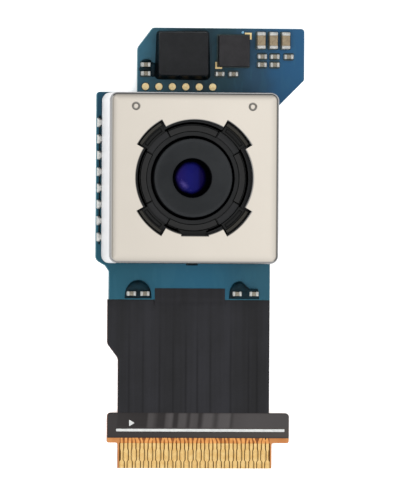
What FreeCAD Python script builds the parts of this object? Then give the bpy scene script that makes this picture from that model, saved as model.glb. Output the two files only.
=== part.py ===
"""Small camera module on a rigid and flexible circuit, with a stabilised autofocus actuator.

The optical axis is +Z. The origin is on that axis, in the underside of the steel back plate that the
module lies on. +Y points to the end with the chips, -Y to the flexible tail and its contacts.
All sizes are millimetres.
"""
import FreeCAD, Part
import math
import os

# Board, plate and tail thicknesses
plate_thickness = 0.15
plate_inset = 0.25
board_thickness = 0.40
flex_thickness = 0.10
film_thickness = 0.03
pad_thickness = 0.02

# Rigid board outline
board_top_y = 9.21
board_right_x = 7.355
board_head_left_x = -2.94
board_chamfer_x = 0.94
board_chamfer_y = 1.25
board_diagonal_y = 6.05
board_body_left_x = -5.445
board_body_right_x = 5.31
board_shoulder_y = 5.26
board_heel_y = -5.02
neck_left_x = -4.62
neck_slope_x = -4.85
neck_slope_y = -5.36
neck_top_y = -5.70
board_bottom_y = -7.42
board_corner_radius = 0.20
flex_root = 0.60

# Shield film on the tail
film_left_x = -4.70
film_waist_left_x = -4.03
film_right_x = 5.32
film_waist_top_y = -10.14
film_waist_bottom_y = -11.02
film_tab_left_x = -1.80
film_tab_right_x = 2.53
film_tab_length = 0.69

# Contact end
head_left_x = -4.67
head_right_x = 6.56
head_top_y = -14.345
band_length = 1.54
base_film_margin = 0.30
contact_count = 37
contact_pitch = 0.25
tongue_length = 1.56
tongue_centre_x = 0.74
contact_wide = 0.29
contact_narrow = 0.09
contact_neck = 0.17
contact_thickness = 0.02
contact_end_gap = 0.03
stiffener_thickness = 0.18
head_corner_radius = 0.23

# Shield can
can_width = 10.40
can_length = 10.42
can_top_z = 5.05
can_wall = 0.15
can_corner_radius = 0.50
can_bend_radius = 0.25
opening_radius = 3.57
notch_radius = 4.02
notch_half_angle = 15.5
dimple_x = 3.61
dimple_y = 4.35
dimple_radius = 0.25
dimple_core_radius = 0.16
dimple_depth = 0.05

# Sensor, its holder and the filter
sensor_width = 6.60
sensor_length = 5.20
sensor_thickness = 0.20
holder_height = 0.50
holder_inset = 0.20
holder_cavity_margin = 0.50
filter_width = 7.00
filter_length = 5.70
filter_thickness = 0.20
filter_ledge = 0.30
filter_gap = 0.03

# Actuator housing, coils and flexible circuit
flange_height = 0.15
base_height = 0.45
base_bore_radius = 3.35
can_gap = 0.03
wall_gap = 0.20
housing_wall = 0.40
housing_top_z = 4.55
coil_flex_thickness = 0.08
coil_flex_bottom_gap = 0.10
coil_flex_height = 2.60
coil_width = 5.40
coil_height = 2.00
coil_thickness = 0.32
coil_band = 0.65
coil_gap = 0.06
coil_centre_z = 3.15
chip_in_coil_width = 1.30
chip_in_coil_height = 0.50
chip_in_coil_thickness = 0.28
yoke_width = 4.60
yoke_height = 2.20
yoke_thickness = 0.10

# Focus carrier
carrier_gap = 0.17
carrier_wall = 0.50
carrier_floor = 0.40
carrier_bottom_gap = 0.10
carrier_top_z = 4.00
carrier_foot_height = 0.08
carrier_foot_radius = 0.30
carrier_foot_inset = 0.95
corner_cut = 0.20
focus_travel = 0.30
shift_travel = 0.10
running_gap = 0.05
guide_ball_radius = 0.35
guide_ball_x = 3.35
guide_ball_count = 3
guide_ball_pitch = 0.74
shift_ball_radius = 0.25
shift_ball_far = 3.20
shift_ball_near = 2.55
groove_gap = 0.02
layer_gap = 0.15
frame_thickness = 0.50
flange_thickness = 0.45
focus_magnet_width = 4.60
focus_magnet_height = 1.50
focus_magnet_thickness = 0.45
shift_magnet_width = 4.40
shift_magnet_height = 1.55
shift_magnet_thickness = 0.50
shift_magnet_bottom_gap = 0.20
magnet_seat = 0.35

# Stopper ring seen in the opening
stopper_bore_radius = 2.58
stopper_pad_inner_radius = 2.84
stopper_pad_outer_radius = 3.22
stopper_pad_half_angle = 29.0
stopper_pad_height = 0.05
stopper_pad_gap_angle = 0.8
stopper_step_radius = 3.34
stopper_rim_radius = 3.50
stopper_thickness = 0.22
stopper_step_height = 0.10
stopper_rim_height = 0.20
ear_radius = 3.92
ear_root_radius = 3.30
ear_rim_width = 0.20
ear_plateau_height = 0.35
ear_rim_height = 0.50
ear_side_gap = 0.12
tab_width = 1.85
tab_length = 0.30
bumper_size = 0.70

# Lens barrel and lens elements
barrel_radius = 2.60
nose_radius = 2.40
nose_top_z = 4.50
nose_shoulder_gap = 0.08
nose_rim = 0.20
nose_chamfer = 0.05
barrel_bottom_z = 1.78
aperture_radius = 1.17
aperture_top_z = 4.00
lens_seat_z = 3.35
glue_gap = 0.02
holder_tube_wall = 0.52
tube_lift = 0.30
lens_edge_gap = 0.02
lens_radii = (1.56, 1.70, 1.86, 2.05, 2.24)
lens_edges = (0.25, 0.20, 0.22, 0.25, 0.30)
lens_clear = (1.12, 1.20, 1.35, 1.60, 1.85)
lens_front_sag = (0.22, -0.05, 0.03, -0.10, -0.16)
lens_back_sag = (-0.05, -0.08, 0.04, 0.07, -0.12)
spacer_thickness = 0.05
spacer_lip = 0.06
retainer_height = 0.12
retainer_bore_radius = 1.90

# Parts on the board
control_chip = (-0.205, 7.60, 3.04, 2.64, 0.85)
motion_chip = (2.95, 7.81, 1.90, 1.92, 0.60)
chip_standoff = 0.04
chip_edge = 0.06
underfill_reach = 0.10
underfill_height = 0.55
underfill_lip = 0.02
large_capacitor = (0.50, 1.00, 0.50)
small_capacitor = (0.56, 0.28, 0.28)
capacitor_end_share = 0.25
large_capacitor_places = ((4.64, 8.47), (5.40, 8.47), (6.16, 8.47))
small_capacitor_places = (
    (4.73, 7.49), (5.51, 7.49), (6.37, 7.49), (4.72, 6.99), (5.51, 6.99), (2.11, 6.40), (2.95, 6.40),
    (-2.46, 6.94), (-2.46, 6.40), (-3.27, -7.06), (-2.44, -7.06), (3.26, -7.05), (4.30, -7.05),
)
glue_base_y = -7.36
left_glue = (-2.83, 0.84, 1.12)
right_glue = (3.71, 0.94, 1.08)
glue_height = 0.40
small_glue = (-2.41, 7.08, 0.33, 0.20)
test_pad_count = 6
test_pad_pitch = 0.83
test_pad_radius = 0.225
test_pad_first_x = -2.455
test_pad_y = 5.60
mark_arm = 0.42
mark_width = 0.11
mark_upper_corner = (4.085, 8.95)
mark_lower_corner = (1.85, 6.72)

# Side terminals
terminal_count = 8
terminal_pitch = 1.00
terminal_first_y = 3.375
terminal_width = 0.30
terminal_thickness = 0.08
terminal_inset = 0.30
solder_width = 0.56
solder_reach = 0.15
solder_height = 0.40

# Number of flats on small or hidden round pieces
small_flat_count = 8
disc_flat_count = 16
bore_flat_count = 24

# Heights and widths worked out from the sizes above
board_z = plate_thickness
board_top_z = board_z + board_thickness
flex_z = board_z + (board_thickness - flex_thickness) / 2
flex_top_z = flex_z + flex_thickness
film_top_z = flex_top_z + film_thickness
half_x = can_width / 2
half_y = can_length / 2
holder_top_z = board_top_z + holder_height
can_bottom_z = holder_top_z + flange_height
base_top_z = can_bottom_z + base_height
wall_x = half_x - can_wall - wall_gap
wall_y = half_y - can_wall - wall_gap
cavity_x = wall_x - housing_wall
cavity_y = wall_y - housing_wall
carrier_x = cavity_x - carrier_gap
carrier_y = cavity_y - carrier_gap
room_x = carrier_x - carrier_wall
room_y = carrier_y - carrier_wall
carrier_z = base_top_z + carrier_bottom_gap
floor_top_z = carrier_z + carrier_floor
frame_z = floor_top_z + layer_gap
frame_top_z = frame_z + frame_thickness
flange_z = frame_top_z + layer_gap
flange_top_z = flange_z + flange_thickness
moving_gap = shift_travel + running_gap
tube_bore_radius = barrel_radius + glue_gap
tube_radius = barrel_radius + holder_tube_wall
frame_bore_radius = tube_radius + moving_gap
carrier_bore_radius = tube_radius + moving_gap * math.sqrt(2)
lens_holder_top_z = carrier_top_z - 2 * running_gap
stopper_top_z = carrier_top_z + stopper_thickness
plate_x = room_x - moving_gap - running_gap
plate_y = room_y - moving_gap - running_gap
magnet_face_x = cavity_x - moving_gap - running_gap
magnet_face_y = cavity_y - moving_gap - running_gap
shift_magnet_z = floor_top_z + shift_magnet_bottom_gap
head_bottom_y = head_top_y - band_length
tongue_top_y = head_bottom_y - base_film_margin
tongue_bottom_y = tongue_top_y - tongue_length
tongue_half = (contact_count + 1) * contact_pitch / 2
up = FreeCAD.Vector(0, 0, 1)
right = FreeCAD.Vector(1, 0, 0)
away = FreeCAD.Vector(0, 1, 0)


def point(x, y, z=0.0):
    return FreeCAD.Vector(x, y, z)


def box(x0, x1, y0, y1, z0, z1):
    """A block between three pairs of planes."""
    return Part.makeBox(x1 - x0, y1 - y0, z1 - z0, point(x0, y0, z0))


def centred_box(x, y, width, length, z0, z1):
    return box(x - width / 2, x + width / 2, y - length / 2, y + length / 2, z0, z1)


def cylinder(radius, z0, z1, x=0.0, y=0.0):
    return Part.makeCylinder(radius, z1 - z0, point(x, y, z0))


def ring(outer, inner, z0, z1):
    return cylinder(outer, z0, z1).cut(cylinder(inner, z0, z1))


def rounded_wire(corners):
    """A closed flat outline through corners (x, y, radius), each corner turned on a tangent arc."""
    edges = []
    starts = []
    ends = []
    middles = []
    count = len(corners)
    for i in range(count):
        x, y, radius = corners[i]
        here = point(x, y)
        before = point(*corners[i - 1][:2]) - here
        after = point(*corners[(i + 1) % count][:2]) - here
        before.normalize()
        after.normalize()
        if radius <= 0:
            starts.append(here)
            ends.append(here)
            middles.append(None)
            continue
        half = before.getAngle(after) / 2
        reach = radius / math.tan(half)
        bisector = before + after
        bisector.normalize()
        centre = here + bisector * (radius / math.sin(half))
        starts.append(here + before * reach)
        ends.append(here + after * reach)
        middles.append(centre - bisector * radius)
    for i in range(count):
        if middles[i] is not None:
            edges.append(Part.Arc(starts[i], middles[i], ends[i]).toShape())
        edges.append(Part.LineSegment(ends[i], starts[(i + 1) % count]).toShape())
    return Part.Wire(edges)


def rounded_plate(corners, z0, z1):
    """The outline of rounded_wire raised from z0 to z1."""
    plate = Part.Face(rounded_wire(corners)).extrude(point(0, 0, z1 - z0))
    plate.translate(point(0, 0, z0))
    return plate


def rounded_block(x0, x1, y0, y1, radius, z0, z1):
    corners = ((x0, y0, radius), (x1, y0, radius), (x1, y1, radius), (x0, y1, radius))
    return rounded_plate(corners, z0, z1)


def prism(points, direction):
    """A solid from a closed polygon of 3-D points, swept along a vector."""
    return Part.Face(Part.makePolygon(list(points) + [points[0]])).extrude(direction)


def turned(profile):
    """A solid turned about the optical axis from a closed profile of (radius, z) points."""
    wire = Part.makePolygon([point(r, 0, z) for r, z in profile + [profile[0]]])
    return Part.Face(wire).revolve(point(0, 0, 0), up, 360)


def sector(outer, inner, middle, half_angle, z0, z1):
    """A part of a ring between two radii, centred on a direction in degrees."""
    start = math.radians(middle - half_angle)
    centre = math.radians(middle)
    end = math.radians(middle + half_angle)
    a, b, c = (point(outer * math.cos(t), outer * math.sin(t), z0) for t in (start, centre, end))
    d, e, f = (point(inner * math.cos(t), inner * math.sin(t), z0) for t in (end, centre, start))
    edges = [
        Part.Arc(a, b, c).toShape(),
        Part.LineSegment(c, d).toShape(),
        Part.Arc(d, e, f).toShape(),
        Part.LineSegment(f, a).toShape(),
    ]
    return Part.Face(Part.Wire(edges)).extrude(point(0, 0, z1 - z0))


def flat_ring(radius, z, flats, x=0.0, y=0.0):
    """The corners of a level regular polygon."""
    turns = [2 * math.pi * (i + 0.5) / flats for i in range(flats)]
    return [point(x + radius * math.cos(t), y + radius * math.sin(t), z) for t in turns]


def stack(rings):
    """A closed solid in flat facets through rings of corners, from the lowest to the highest."""
    faces = [Part.Face(Part.makePolygon(ring_ + [ring_[0]])) for ring_ in (rings[0], rings[-1])]
    for low, high in zip(rings, rings[1:]):
        for i in range(len(low)):
            j = (i + 1) % len(low)
            corners = [low[i], low[j], high[j], high[i], low[i]]
            faces.append(Part.Face(Part.makePolygon(corners)))
    shell = Part.makeShell(faces)
    shell.sewShape()
    solid = Part.makeSolid(Part.Shell(shell.Faces))
    if solid.Volume < 0:
        solid.reverse()
    return solid.removeSplitter()


def faceted_disc(radius, z0, z1, flats, x=0.0, y=0.0):
    return stack([flat_ring(radius, z0, flats, x, y), flat_ring(radius, z1, flats, x, y)])


def cut_corners(x0, x1, y0, y1, cut):
    """The eight corners of a rectangle whose own corners are cut off at 45 degrees."""
    return (
        (x0 + cut, y0), (x1 - cut, y0), (x1, y0 + cut), (x1, y1 - cut),
        (x1 - cut, y1), (x0 + cut, y1), (x0, y1 - cut), (x0, y0 + cut),
    )


def cut_block(x0, x1, y0, y1, cut, z0, z1):
    """A block with its four upright edges cut off flat."""
    outline = cut_corners(x0, x1, y0, y1, cut)
    return prism([point(x, y, z0) for x, y in outline], point(0, 0, z1 - z0))


def channel(place, radius, run, length):
    """Six-sided trough through a ball's centre: two 45 degree flanks and a flat floor on each side.

    It runs along X, Y or Z, and cuts both the piece that carries the ball and the one that it rolls on.
    """
    reach = radius + groove_gap
    flank = reach * math.sqrt(2)
    floor = reach + groove_gap
    narrow = flank - floor
    section = (
        (flank, 0), (narrow, floor), (-narrow, floor), (-flank, 0), (-narrow, -floor), (narrow, -floor),
    )
    x, y, z = place
    half = length / 2
    if run == "x":
        return prism([point(x - half, y + u, z + v) for u, v in section], right * length)
    if run == "y":
        return prism([point(x + u, y - half, z + v) for u, v in section], away * length)
    return prism([point(x + u, y + v, z - half) for u, v in section], up * length)


def joined(solids):
    """One solid from pieces that touch or overlap."""
    whole = solids[0].fuse(list(solids[1:]))
    return whole.removeSplitter()


def corners_of(x, y):
    return ((x, y), (-x, y), (-x, -y), (x, -y))


def save(name, shape):
    """Writes one named piece, or one group of like pieces, to its own file."""
    if not shape.isValid():
        raise ValueError(name + " is not a valid solid")
    shape.exportStep(os.path.join("parts", name + ".step"))


def back_plate():
    """Steel plate glued under the sensor, the face that the module rests on."""
    return rounded_block(
        board_body_left_x + plate_inset, board_body_right_x - plate_inset,
        -half_y + plate_inset, half_y - plate_inset, can_corner_radius, 0, plate_thickness,
    )


def rigid_board():
    """The rigid circuit board, with a slot at mid thickness that the flexible tail comes out of."""
    r = board_corner_radius
    diagonal_low_y = board_diagonal_y - (board_right_x - board_body_right_x)
    corners = (
        (board_head_left_x + board_chamfer_x, board_top_y, r),
        (board_head_left_x, board_top_y - board_chamfer_y, 2 * r),
        (board_head_left_x, board_shoulder_y, 0),
        (board_body_left_x, board_shoulder_y, r),
        (board_body_left_x, board_heel_y, 2 * r),
        (neck_slope_x, neck_slope_y, r),
        (neck_left_x, neck_top_y, r),
        (neck_left_x, board_bottom_y, 0),
        (board_body_right_x, board_bottom_y, 0),
        (board_body_right_x, diagonal_low_y, r),
        (board_right_x, board_diagonal_y, r),
        (board_right_x, board_top_y, r),
    )
    board = rounded_plate(corners, board_z, board_top_z)
    return board.cut(flex_root_block())


def tail_outline():
    """Outline of the tail: full width at the board, then a step in on the left to its waist."""
    r = head_corner_radius
    return (
        (film_left_x, board_bottom_y, 0),
        (film_left_x, film_waist_top_y, 2 * r),
        (film_waist_left_x, film_waist_bottom_y, 2 * r),
        (film_waist_left_x, head_top_y, 0),
        (film_right_x, head_top_y, 0),
        (film_right_x, board_bottom_y, 0),
    )


def flex_root_block():
    """The stretch of the flexible core that is laminated into the board."""
    return box(
        neck_left_x, board_body_right_x, board_bottom_y, board_bottom_y + flex_root, flex_z, flex_top_z
    )


def flex_tail():
    """Copper and polyimide core: rooted in the board, down the tail and out to the contact tongue."""
    tail = rounded_plate(tail_outline(), flex_z, flex_top_z)
    head = rounded_plate(head_outline(), flex_z, flex_top_z)
    return joined([flex_root_block(), tail, head])


def head_outline():
    """Outline of the contact end: two ears that a socket pulls on, and the tongue below them."""
    r = head_corner_radius
    return (
        (head_left_x, head_top_y, r),
        (head_left_x, tongue_top_y, r / 2),
        (tongue_centre_x - tongue_half, tongue_top_y, r / 2),
        (tongue_centre_x - tongue_half, tongue_bottom_y, 0),
        (tongue_centre_x + tongue_half, tongue_bottom_y, 0),
        (tongue_centre_x + tongue_half, tongue_top_y, r / 2),
        (head_right_x, tongue_top_y, r / 2),
        (head_right_x, head_top_y, r),
    )


def shield_film():
    """Black film on the front of the tail, with a tab that climbs onto the board."""
    tail = rounded_plate(tail_outline(), flex_top_z, film_top_z)
    tab = box(
        film_tab_left_x, film_tab_right_x, board_bottom_y - film_thickness, board_bottom_y + film_tab_length,
        board_top_z, board_top_z + film_thickness,
    )
    riser = box(
        film_tab_left_x, film_tab_right_x, board_bottom_y - film_thickness, board_bottom_y,
        flex_top_z, board_top_z + film_thickness,
    )
    return joined([tail, tab, riser])


def tail_back_film():
    """Black film on the back of the tail, as far as the stiffener of the contact end."""
    return rounded_plate(tail_outline(), flex_z - film_thickness, flex_z)


def contact_cover():
    """Black band over the head of the contact end."""
    r = head_corner_radius
    corners = (
        (head_left_x, head_top_y, r),
        (head_left_x, head_bottom_y, 0),
        (head_right_x, head_bottom_y, 0),
        (head_right_x, head_top_y, r),
    )
    return rounded_plate(corners, flex_top_z, film_top_z)


def contact_stiffener():
    """Amber backing that gives the contact end its insertion thickness."""
    return rounded_plate(head_outline(), flex_z - stiffener_thickness, flex_z)


def contact(index):
    """One contact: a neck, then a wide pad in the upper row or, every other one, in the lower row."""
    x = tongue_centre_x + (index - (contact_count - 1) / 2) * contact_pitch
    lower = index % 2 == 0
    if lower:
        stations = (
            (0.00, contact_neck), (0.20, contact_neck), (0.32, contact_narrow), (0.68, contact_narrow),
            (0.74, contact_wide), (1.00, contact_wide),
        )
    else:
        stations = (
            (0.00, contact_neck), (0.20, contact_neck), (0.33, contact_wide), (0.59, contact_wide),
            (0.68, contact_narrow), (1.00, contact_narrow),
        )
    top = tongue_top_y - contact_end_gap
    length = tongue_length - contact_end_gap
    left = [point(x - width / 2, top - share * length, flex_top_z) for share, width in stations]
    far = [point(x + width / 2, top - share * length, flex_top_z) for share, width in reversed(stations)]
    return prism(left + far, point(0, 0, contact_thickness))


def contact_fingers():
    return Part.makeCompound([contact(i) for i in range(contact_count)])


def test_pads():
    pads = []
    for i in range(test_pad_count):
        x = test_pad_first_x + i * test_pad_pitch
        pads.append(faceted_disc(
            test_pad_radius, board_top_z, board_top_z + pad_thickness, disc_flat_count, x, test_pad_y
        ))
    return Part.makeCompound(pads)


def corner_mark(corner, towards_x, towards_y):
    """A bare gold angle on the board, its outer corner at the given place."""
    x, y = corner
    w = mark_width
    outline = (
        (x, y), (x + towards_x * mark_arm, y), (x + towards_x * mark_arm, y + towards_y * w),
        (x + towards_x * w, y + towards_y * w), (x + towards_x * w, y + towards_y * mark_arm),
        (x, y + towards_y * mark_arm),
    )
    return prism([point(a, b, board_top_z) for a, b in outline], point(0, 0, pad_thickness))


def corner_marks():
    return Part.makeCompound([corner_mark(mark_upper_corner, -1, -1), corner_mark(mark_lower_corner, 1, 1)])


def image_sensor():
    return centred_box(0, 0, sensor_width, sensor_length, board_top_z, board_top_z + sensor_thickness)


def sensor_holder():
    """Moulded frame over the sensor: a cavity below, a window, and a recess on top for the filter."""
    x = half_x - holder_inset
    y = half_y - holder_inset
    cavity_width = sensor_width + 2 * holder_cavity_margin
    cavity_length = sensor_length + 2 * holder_cavity_margin
    recess_z = holder_top_z - filter_thickness
    ledge_z = recess_z - filter_gap
    body = rounded_block(-x, x, -y, y, can_corner_radius, board_top_z, holder_top_z)
    cavity = centred_box(0, 0, cavity_width, cavity_length, board_top_z, ledge_z - filter_gap)
    window = centred_box(
        0, 0, filter_width - 2 * filter_ledge, filter_length - 2 * filter_ledge, board_top_z, holder_top_z
    )
    recess = centred_box(
        0, 0, filter_width + 2 * filter_gap, filter_length + 2 * filter_gap, recess_z, holder_top_z
    )
    return body.cut([cavity, window, recess])


def ir_filter():
    return centred_box(0, 0, filter_width, filter_length, holder_top_z - filter_thickness, holder_top_z)


def can_outline(inset, z0, z1):
    r = can_corner_radius - inset
    return rounded_block(-half_x + inset, half_x - inset, -half_y + inset, half_y - inset, r, z0, z1)


def top_edges(shape, z):
    """The edges of a shape that lie wholly in the plane at height z."""
    found = []
    for edge in shape.Edges:
        bounds = edge.BoundBox
        if abs(bounds.ZMin - z) < 1e-6 and abs(bounds.ZMax - z) < 1e-6:
            found.append(edge)
    return found


def shield_can():
    """Drawn sheet can with rounded corners and bend, a notched lens opening and two round dimples."""
    outer = can_outline(0, can_bottom_z, can_top_z)
    outer = outer.makeFillet(can_bend_radius, top_edges(outer, can_top_z))
    roof_z = can_top_z - can_wall
    inner = can_outline(can_wall, can_bottom_z, roof_z)
    cuts = [inner, cylinder(opening_radius, roof_z - can_wall, can_top_z)]
    for quarter in range(4):
        middle = 45 + 90 * quarter
        cuts.append(
            sector(notch_radius, opening_radius / 2, middle, notch_half_angle, roof_z - can_wall, can_top_z)
        )
    for x in (-dimple_x, dimple_x):
        floor_z = can_top_z - dimple_depth
        groove = faceted_disc(dimple_radius, floor_z, can_top_z, disc_flat_count, x, dimple_y)
        core = faceted_disc(dimple_core_radius, floor_z, can_top_z, disc_flat_count, x, dimple_y)
        cuts.append(groove.cut(core))
    return outer.cut(cuts)


def coil_window(gap):
    """Half width and heights of the opening in a wall that a coil sits in."""
    half_height = coil_height / 2 + gap
    return coil_width / 2 + gap, coil_centre_z - half_height, coil_centre_z + half_height


def terminal_y(index):
    return terminal_first_y - index * terminal_pitch


def guide_ball_y():
    """Middle of the gap between the focus carrier and the housing wall at the guide side."""
    return -(carrier_y + cavity_y) / 2


def guide_grooves(z0, z1):
    """Two upright troughs that the guide balls run in."""
    middle = (z0 + z1) / 2
    return [
        channel((x, guide_ball_y(), middle), guide_ball_radius, "z", z1 - z0)
        for x in (-guide_ball_x, guide_ball_x)
    ]


def actuator_housing():
    """Moulded base with a flange under the can and four walls, three of them open for the coils."""
    base_x = half_x - can_wall - can_gap
    base_y = half_y - can_wall - can_gap
    r = can_corner_radius - can_wall
    flange = can_outline(0, holder_top_z, can_bottom_z)
    base = cut_block(-base_x, base_x, -base_y, base_y, r, can_bottom_z, base_top_z)
    walls = cut_block(-wall_x, wall_x, -wall_y, wall_y, r, base_top_z, housing_top_z)
    room = box(-cavity_x, cavity_x, -cavity_y, cavity_y, base_top_z, housing_top_z)
    body = joined([flange, base, walls.cut(room)])
    half, low, high = coil_window(coil_gap)
    cuts = [
        faceted_disc(base_bore_radius, holder_top_z, base_top_z, bore_flat_count),
        box(cavity_x, wall_x, -half, half, low, high),
        box(-half, half, cavity_y, wall_y, low, high),
        box(-half, half, -wall_y, -cavity_y, low, high),
    ]
    cuts += guide_grooves(base_top_z, housing_top_z)
    for i in range(terminal_count):
        pocket_end = -half_x + terminal_inset
        cuts.append(
            centred_box(
                (-half_x + pocket_end) / 2, terminal_y(i), terminal_inset, terminal_width,
                holder_top_z, holder_top_z + terminal_thickness,
            )
        )
    return body.cut(cuts)


def coil_flex():
    """Flexible circuit wrapped round the walls, open at one corner, that carries the coils."""
    z0 = base_top_z + coil_flex_bottom_gap
    z1 = z0 + coil_flex_height
    t = coil_flex_thickness
    r = can_corner_radius - can_wall
    outer = cut_block(-wall_x - t, wall_x + t, -wall_y - t, wall_y + t, r + t / 2, z0, z1)
    inner = cut_block(-wall_x, wall_x, -wall_y, wall_y, r, z0, z1)
    gap = box(-half_x, -wall_x + r + t, wall_y / 2, half_y, z0, z1)
    return outer.cut([inner, gap])


def racetrack(width, height):
    """A stadium in the XZ plane with faceted ends, reaching from y = 0 to one coil thickness in front."""
    radius = height / 2
    reach = width / 2 - radius
    outline = []
    for i in range(small_flat_count + 1):
        turn = math.pi * i / small_flat_count - math.pi / 2
        outline.append((reach + radius * math.cos(turn), radius * math.sin(turn)))
    outline += [(-x, -z) for x, z in outline]
    corners = [point(x, 0, coil_centre_z + z) for x, z in outline]
    return prism(corners, away * -coil_thickness)


def coil():
    """A flat racetrack winding, seen along Y, with its back face at y = 0."""
    return racetrack(coil_width, coil_height).cut(
        racetrack(coil_width - 2 * coil_band, coil_height - 2 * coil_band)
    )


def chip_in_coil():
    """The small chip in the eye of a coil, its back face at y = 0."""
    return centred_box(
        0, -chip_in_coil_thickness / 2, chip_in_coil_width, chip_in_coil_thickness,
        coil_centre_z - chip_in_coil_height / 2, coil_centre_z + chip_in_coil_height / 2,
    )


def on_wall(shape, side):
    """Puts a shape made for the +Y wall, with its back at y = 0, against one of the three coil walls."""
    turn, shift = {
        "plus_y": (0, point(0, wall_y, 0)),
        "plus_x": (-90, point(wall_x, 0, 0)),
        "minus_y": (180, point(0, -wall_y, 0)),
    }[side]
    placed = shape.copy()
    placed.rotate(point(0, 0, 0), up, turn)
    placed.translate(shift)
    return placed


def focus_yoke():
    """Steel plate behind the focus coil, which draws the carrier's magnet onto the guide balls."""
    back = wall_y + coil_flex_thickness
    return box(
        -yoke_width / 2, yoke_width / 2, -back - yoke_thickness, -back,
        coil_centre_z - yoke_height / 2, coil_centre_z + yoke_height / 2,
    )


def side_terminals():
    """Bent flat pins from under the base, down the side to the board."""
    pins = []
    for i in range(terminal_count):
        y = terminal_y(i)
        top = holder_top_z + terminal_thickness
        arm = box(
            -half_x - terminal_thickness, -half_x + terminal_inset,
            y - terminal_width / 2, y + terminal_width / 2, holder_top_z, top,
        )
        leg = box(
            -half_x - terminal_thickness, -half_x,
            y - terminal_width / 2, y + terminal_width / 2, board_top_z, top,
        )
        pins.append(joined([arm, leg]))
    return Part.makeCompound(pins)


def terminal_solder():
    """Solder fillets between the pins and the board, each with a rounded outer face in flat facets."""
    joints = []
    inner_x = -half_x - terminal_thickness
    for i in range(terminal_count):
        y0 = terminal_y(i) - solder_width / 2
        section = [point(inner_x, y0, board_top_z)]
        for turn in (0, 30, 60, 90):
            across = solder_reach * math.cos(math.radians(turn))
            height = solder_height * math.sin(math.radians(turn))
            section.append(point(inner_x - across, y0, board_top_z + height))
        joints.append(prism(section, away * solder_width))
    return Part.makeCompound(joints)


def capacitor(place, size):
    """Ceramic body and two metal ends, along the longer side of the part."""
    x, y = place
    width, length, height = size
    body = centred_box(x, y, width, length, board_top_z, board_top_z + height)
    if width > length:
        share = width * capacitor_end_share
        ends = [
            box(x - width / 2, x - width / 2 + share, y - length / 2, y + length / 2,
                board_top_z, board_top_z + height),
            box(x + width / 2 - share, x + width / 2, y - length / 2, y + length / 2,
                board_top_z, board_top_z + height),
        ]
    else:
        share = length * capacitor_end_share
        ends = [
            box(x - width / 2, x + width / 2, y - length / 2, y - length / 2 + share,
                board_top_z, board_top_z + height),
            box(x - width / 2, x + width / 2, y + length / 2 - share, y + length / 2,
                board_top_z, board_top_z + height),
        ]
    return body.cut(ends), ends


def capacitors(places, size):
    bodies = []
    ends = []
    for place in places:
        body, pair = capacitor(place, size)
        bodies.append(body)
        ends += pair
    return Part.makeCompound(bodies), Part.makeCompound(ends)


def chip(spec):
    """Moulded chip package, with its upright and top edges cut off at 45 degrees."""
    x, y, width, length, height = spec
    z0 = board_top_z + chip_standoff
    z1 = board_top_z + height
    body = cut_block(x - width / 2, x + width / 2, y - length / 2, y + length / 2, chip_edge, z0, z1)
    return body.makeChamfer(chip_edge, top_edges(body, z1))


def control_chip_underfill():
    """Black resin under the large chip, standing out round it as a sloping collar."""
    x, y, width, length, _ = control_chip
    rings = []
    for reach, z in ((underfill_reach, board_top_z), (underfill_lip, board_top_z + underfill_height)):
        half_x_here = width / 2 + reach
        half_y_here = length / 2 + reach
        outline = cut_corners(
            x - half_x_here, x + half_x_here, y - half_y_here, y + half_y_here, 2 * chip_edge + reach
        )
        rings.append([point(a, b, z) for a, b in outline])
    return stack(rings).cut(chip(control_chip))


def drop(x, base_y, half_width, length, height):
    """Half-round drop of resin with a straight lower side, its top rounded in three steps."""
    rings = []
    for share, shrink in ((0.0, 1.0), (0.55, 0.88), (0.88, 0.60), (1.0, 0.30)):
        outline = []
        for i in range(small_flat_count + 1):
            turn = math.pi * i / small_flat_count
            outline.append(point(
                x + shrink * half_width * math.cos(turn),
                base_y + (1 - shrink) * length / 3 + shrink * length * math.sin(turn),
                board_top_z + height * share,
            ))
        rings.append(outline)
    return stack(rings)


def glue_domes():
    """Resin round the parts on the neck and beside the large chip, which leaves their tops bare."""
    width, length, _ = small_capacitor
    cuts = [
        centred_box(x, y, width, length, board_top_z, board_top_z + glue_height)
        for x, y in small_capacitor_places
    ]
    drops = [drop(x, glue_base_y, half, length, glue_height) for x, half, length in (left_glue, right_glue)]
    x, y, half, length = small_glue
    drops.append(drop(x, y, half, length, glue_height))
    return Part.makeCompound([one.cut(cuts) for one in drops])


def shift_groove(place, run):
    """Short trough for one shift ball, long enough for the travel to both sides."""
    return channel(place, shift_ball_radius, run, 2 * (shift_ball_radius + groove_gap + shift_travel))


def frame_ball_places():
    """Balls between the focus carrier and the shift frame, which run along X."""
    z = (floor_top_z + frame_z) / 2
    return [(x, y, z) for x, y in corners_of(shift_ball_far, shift_ball_near)]


def holder_ball_places():
    """Balls between the shift frame and the lens holder, which run along Y."""
    z = (frame_top_z + flange_z) / 2
    return [(x, y, z) for x, y in corners_of(shift_ball_near, shift_ball_far)]


def ball(place, radius):
    """A small ball in flat facets, its corners on the sphere."""
    x, y, z = place
    rings = []
    for polar in (160, 125, 90, 55, 20):
        turn = math.radians(polar)
        rings.append(
            flat_ring(radius * math.sin(turn), z + radius * math.cos(turn), small_flat_count, x, y)
        )
    return stack(rings)


def balls(places, radius):
    return Part.makeCompound([ball(place, radius) for place in places])


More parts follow.
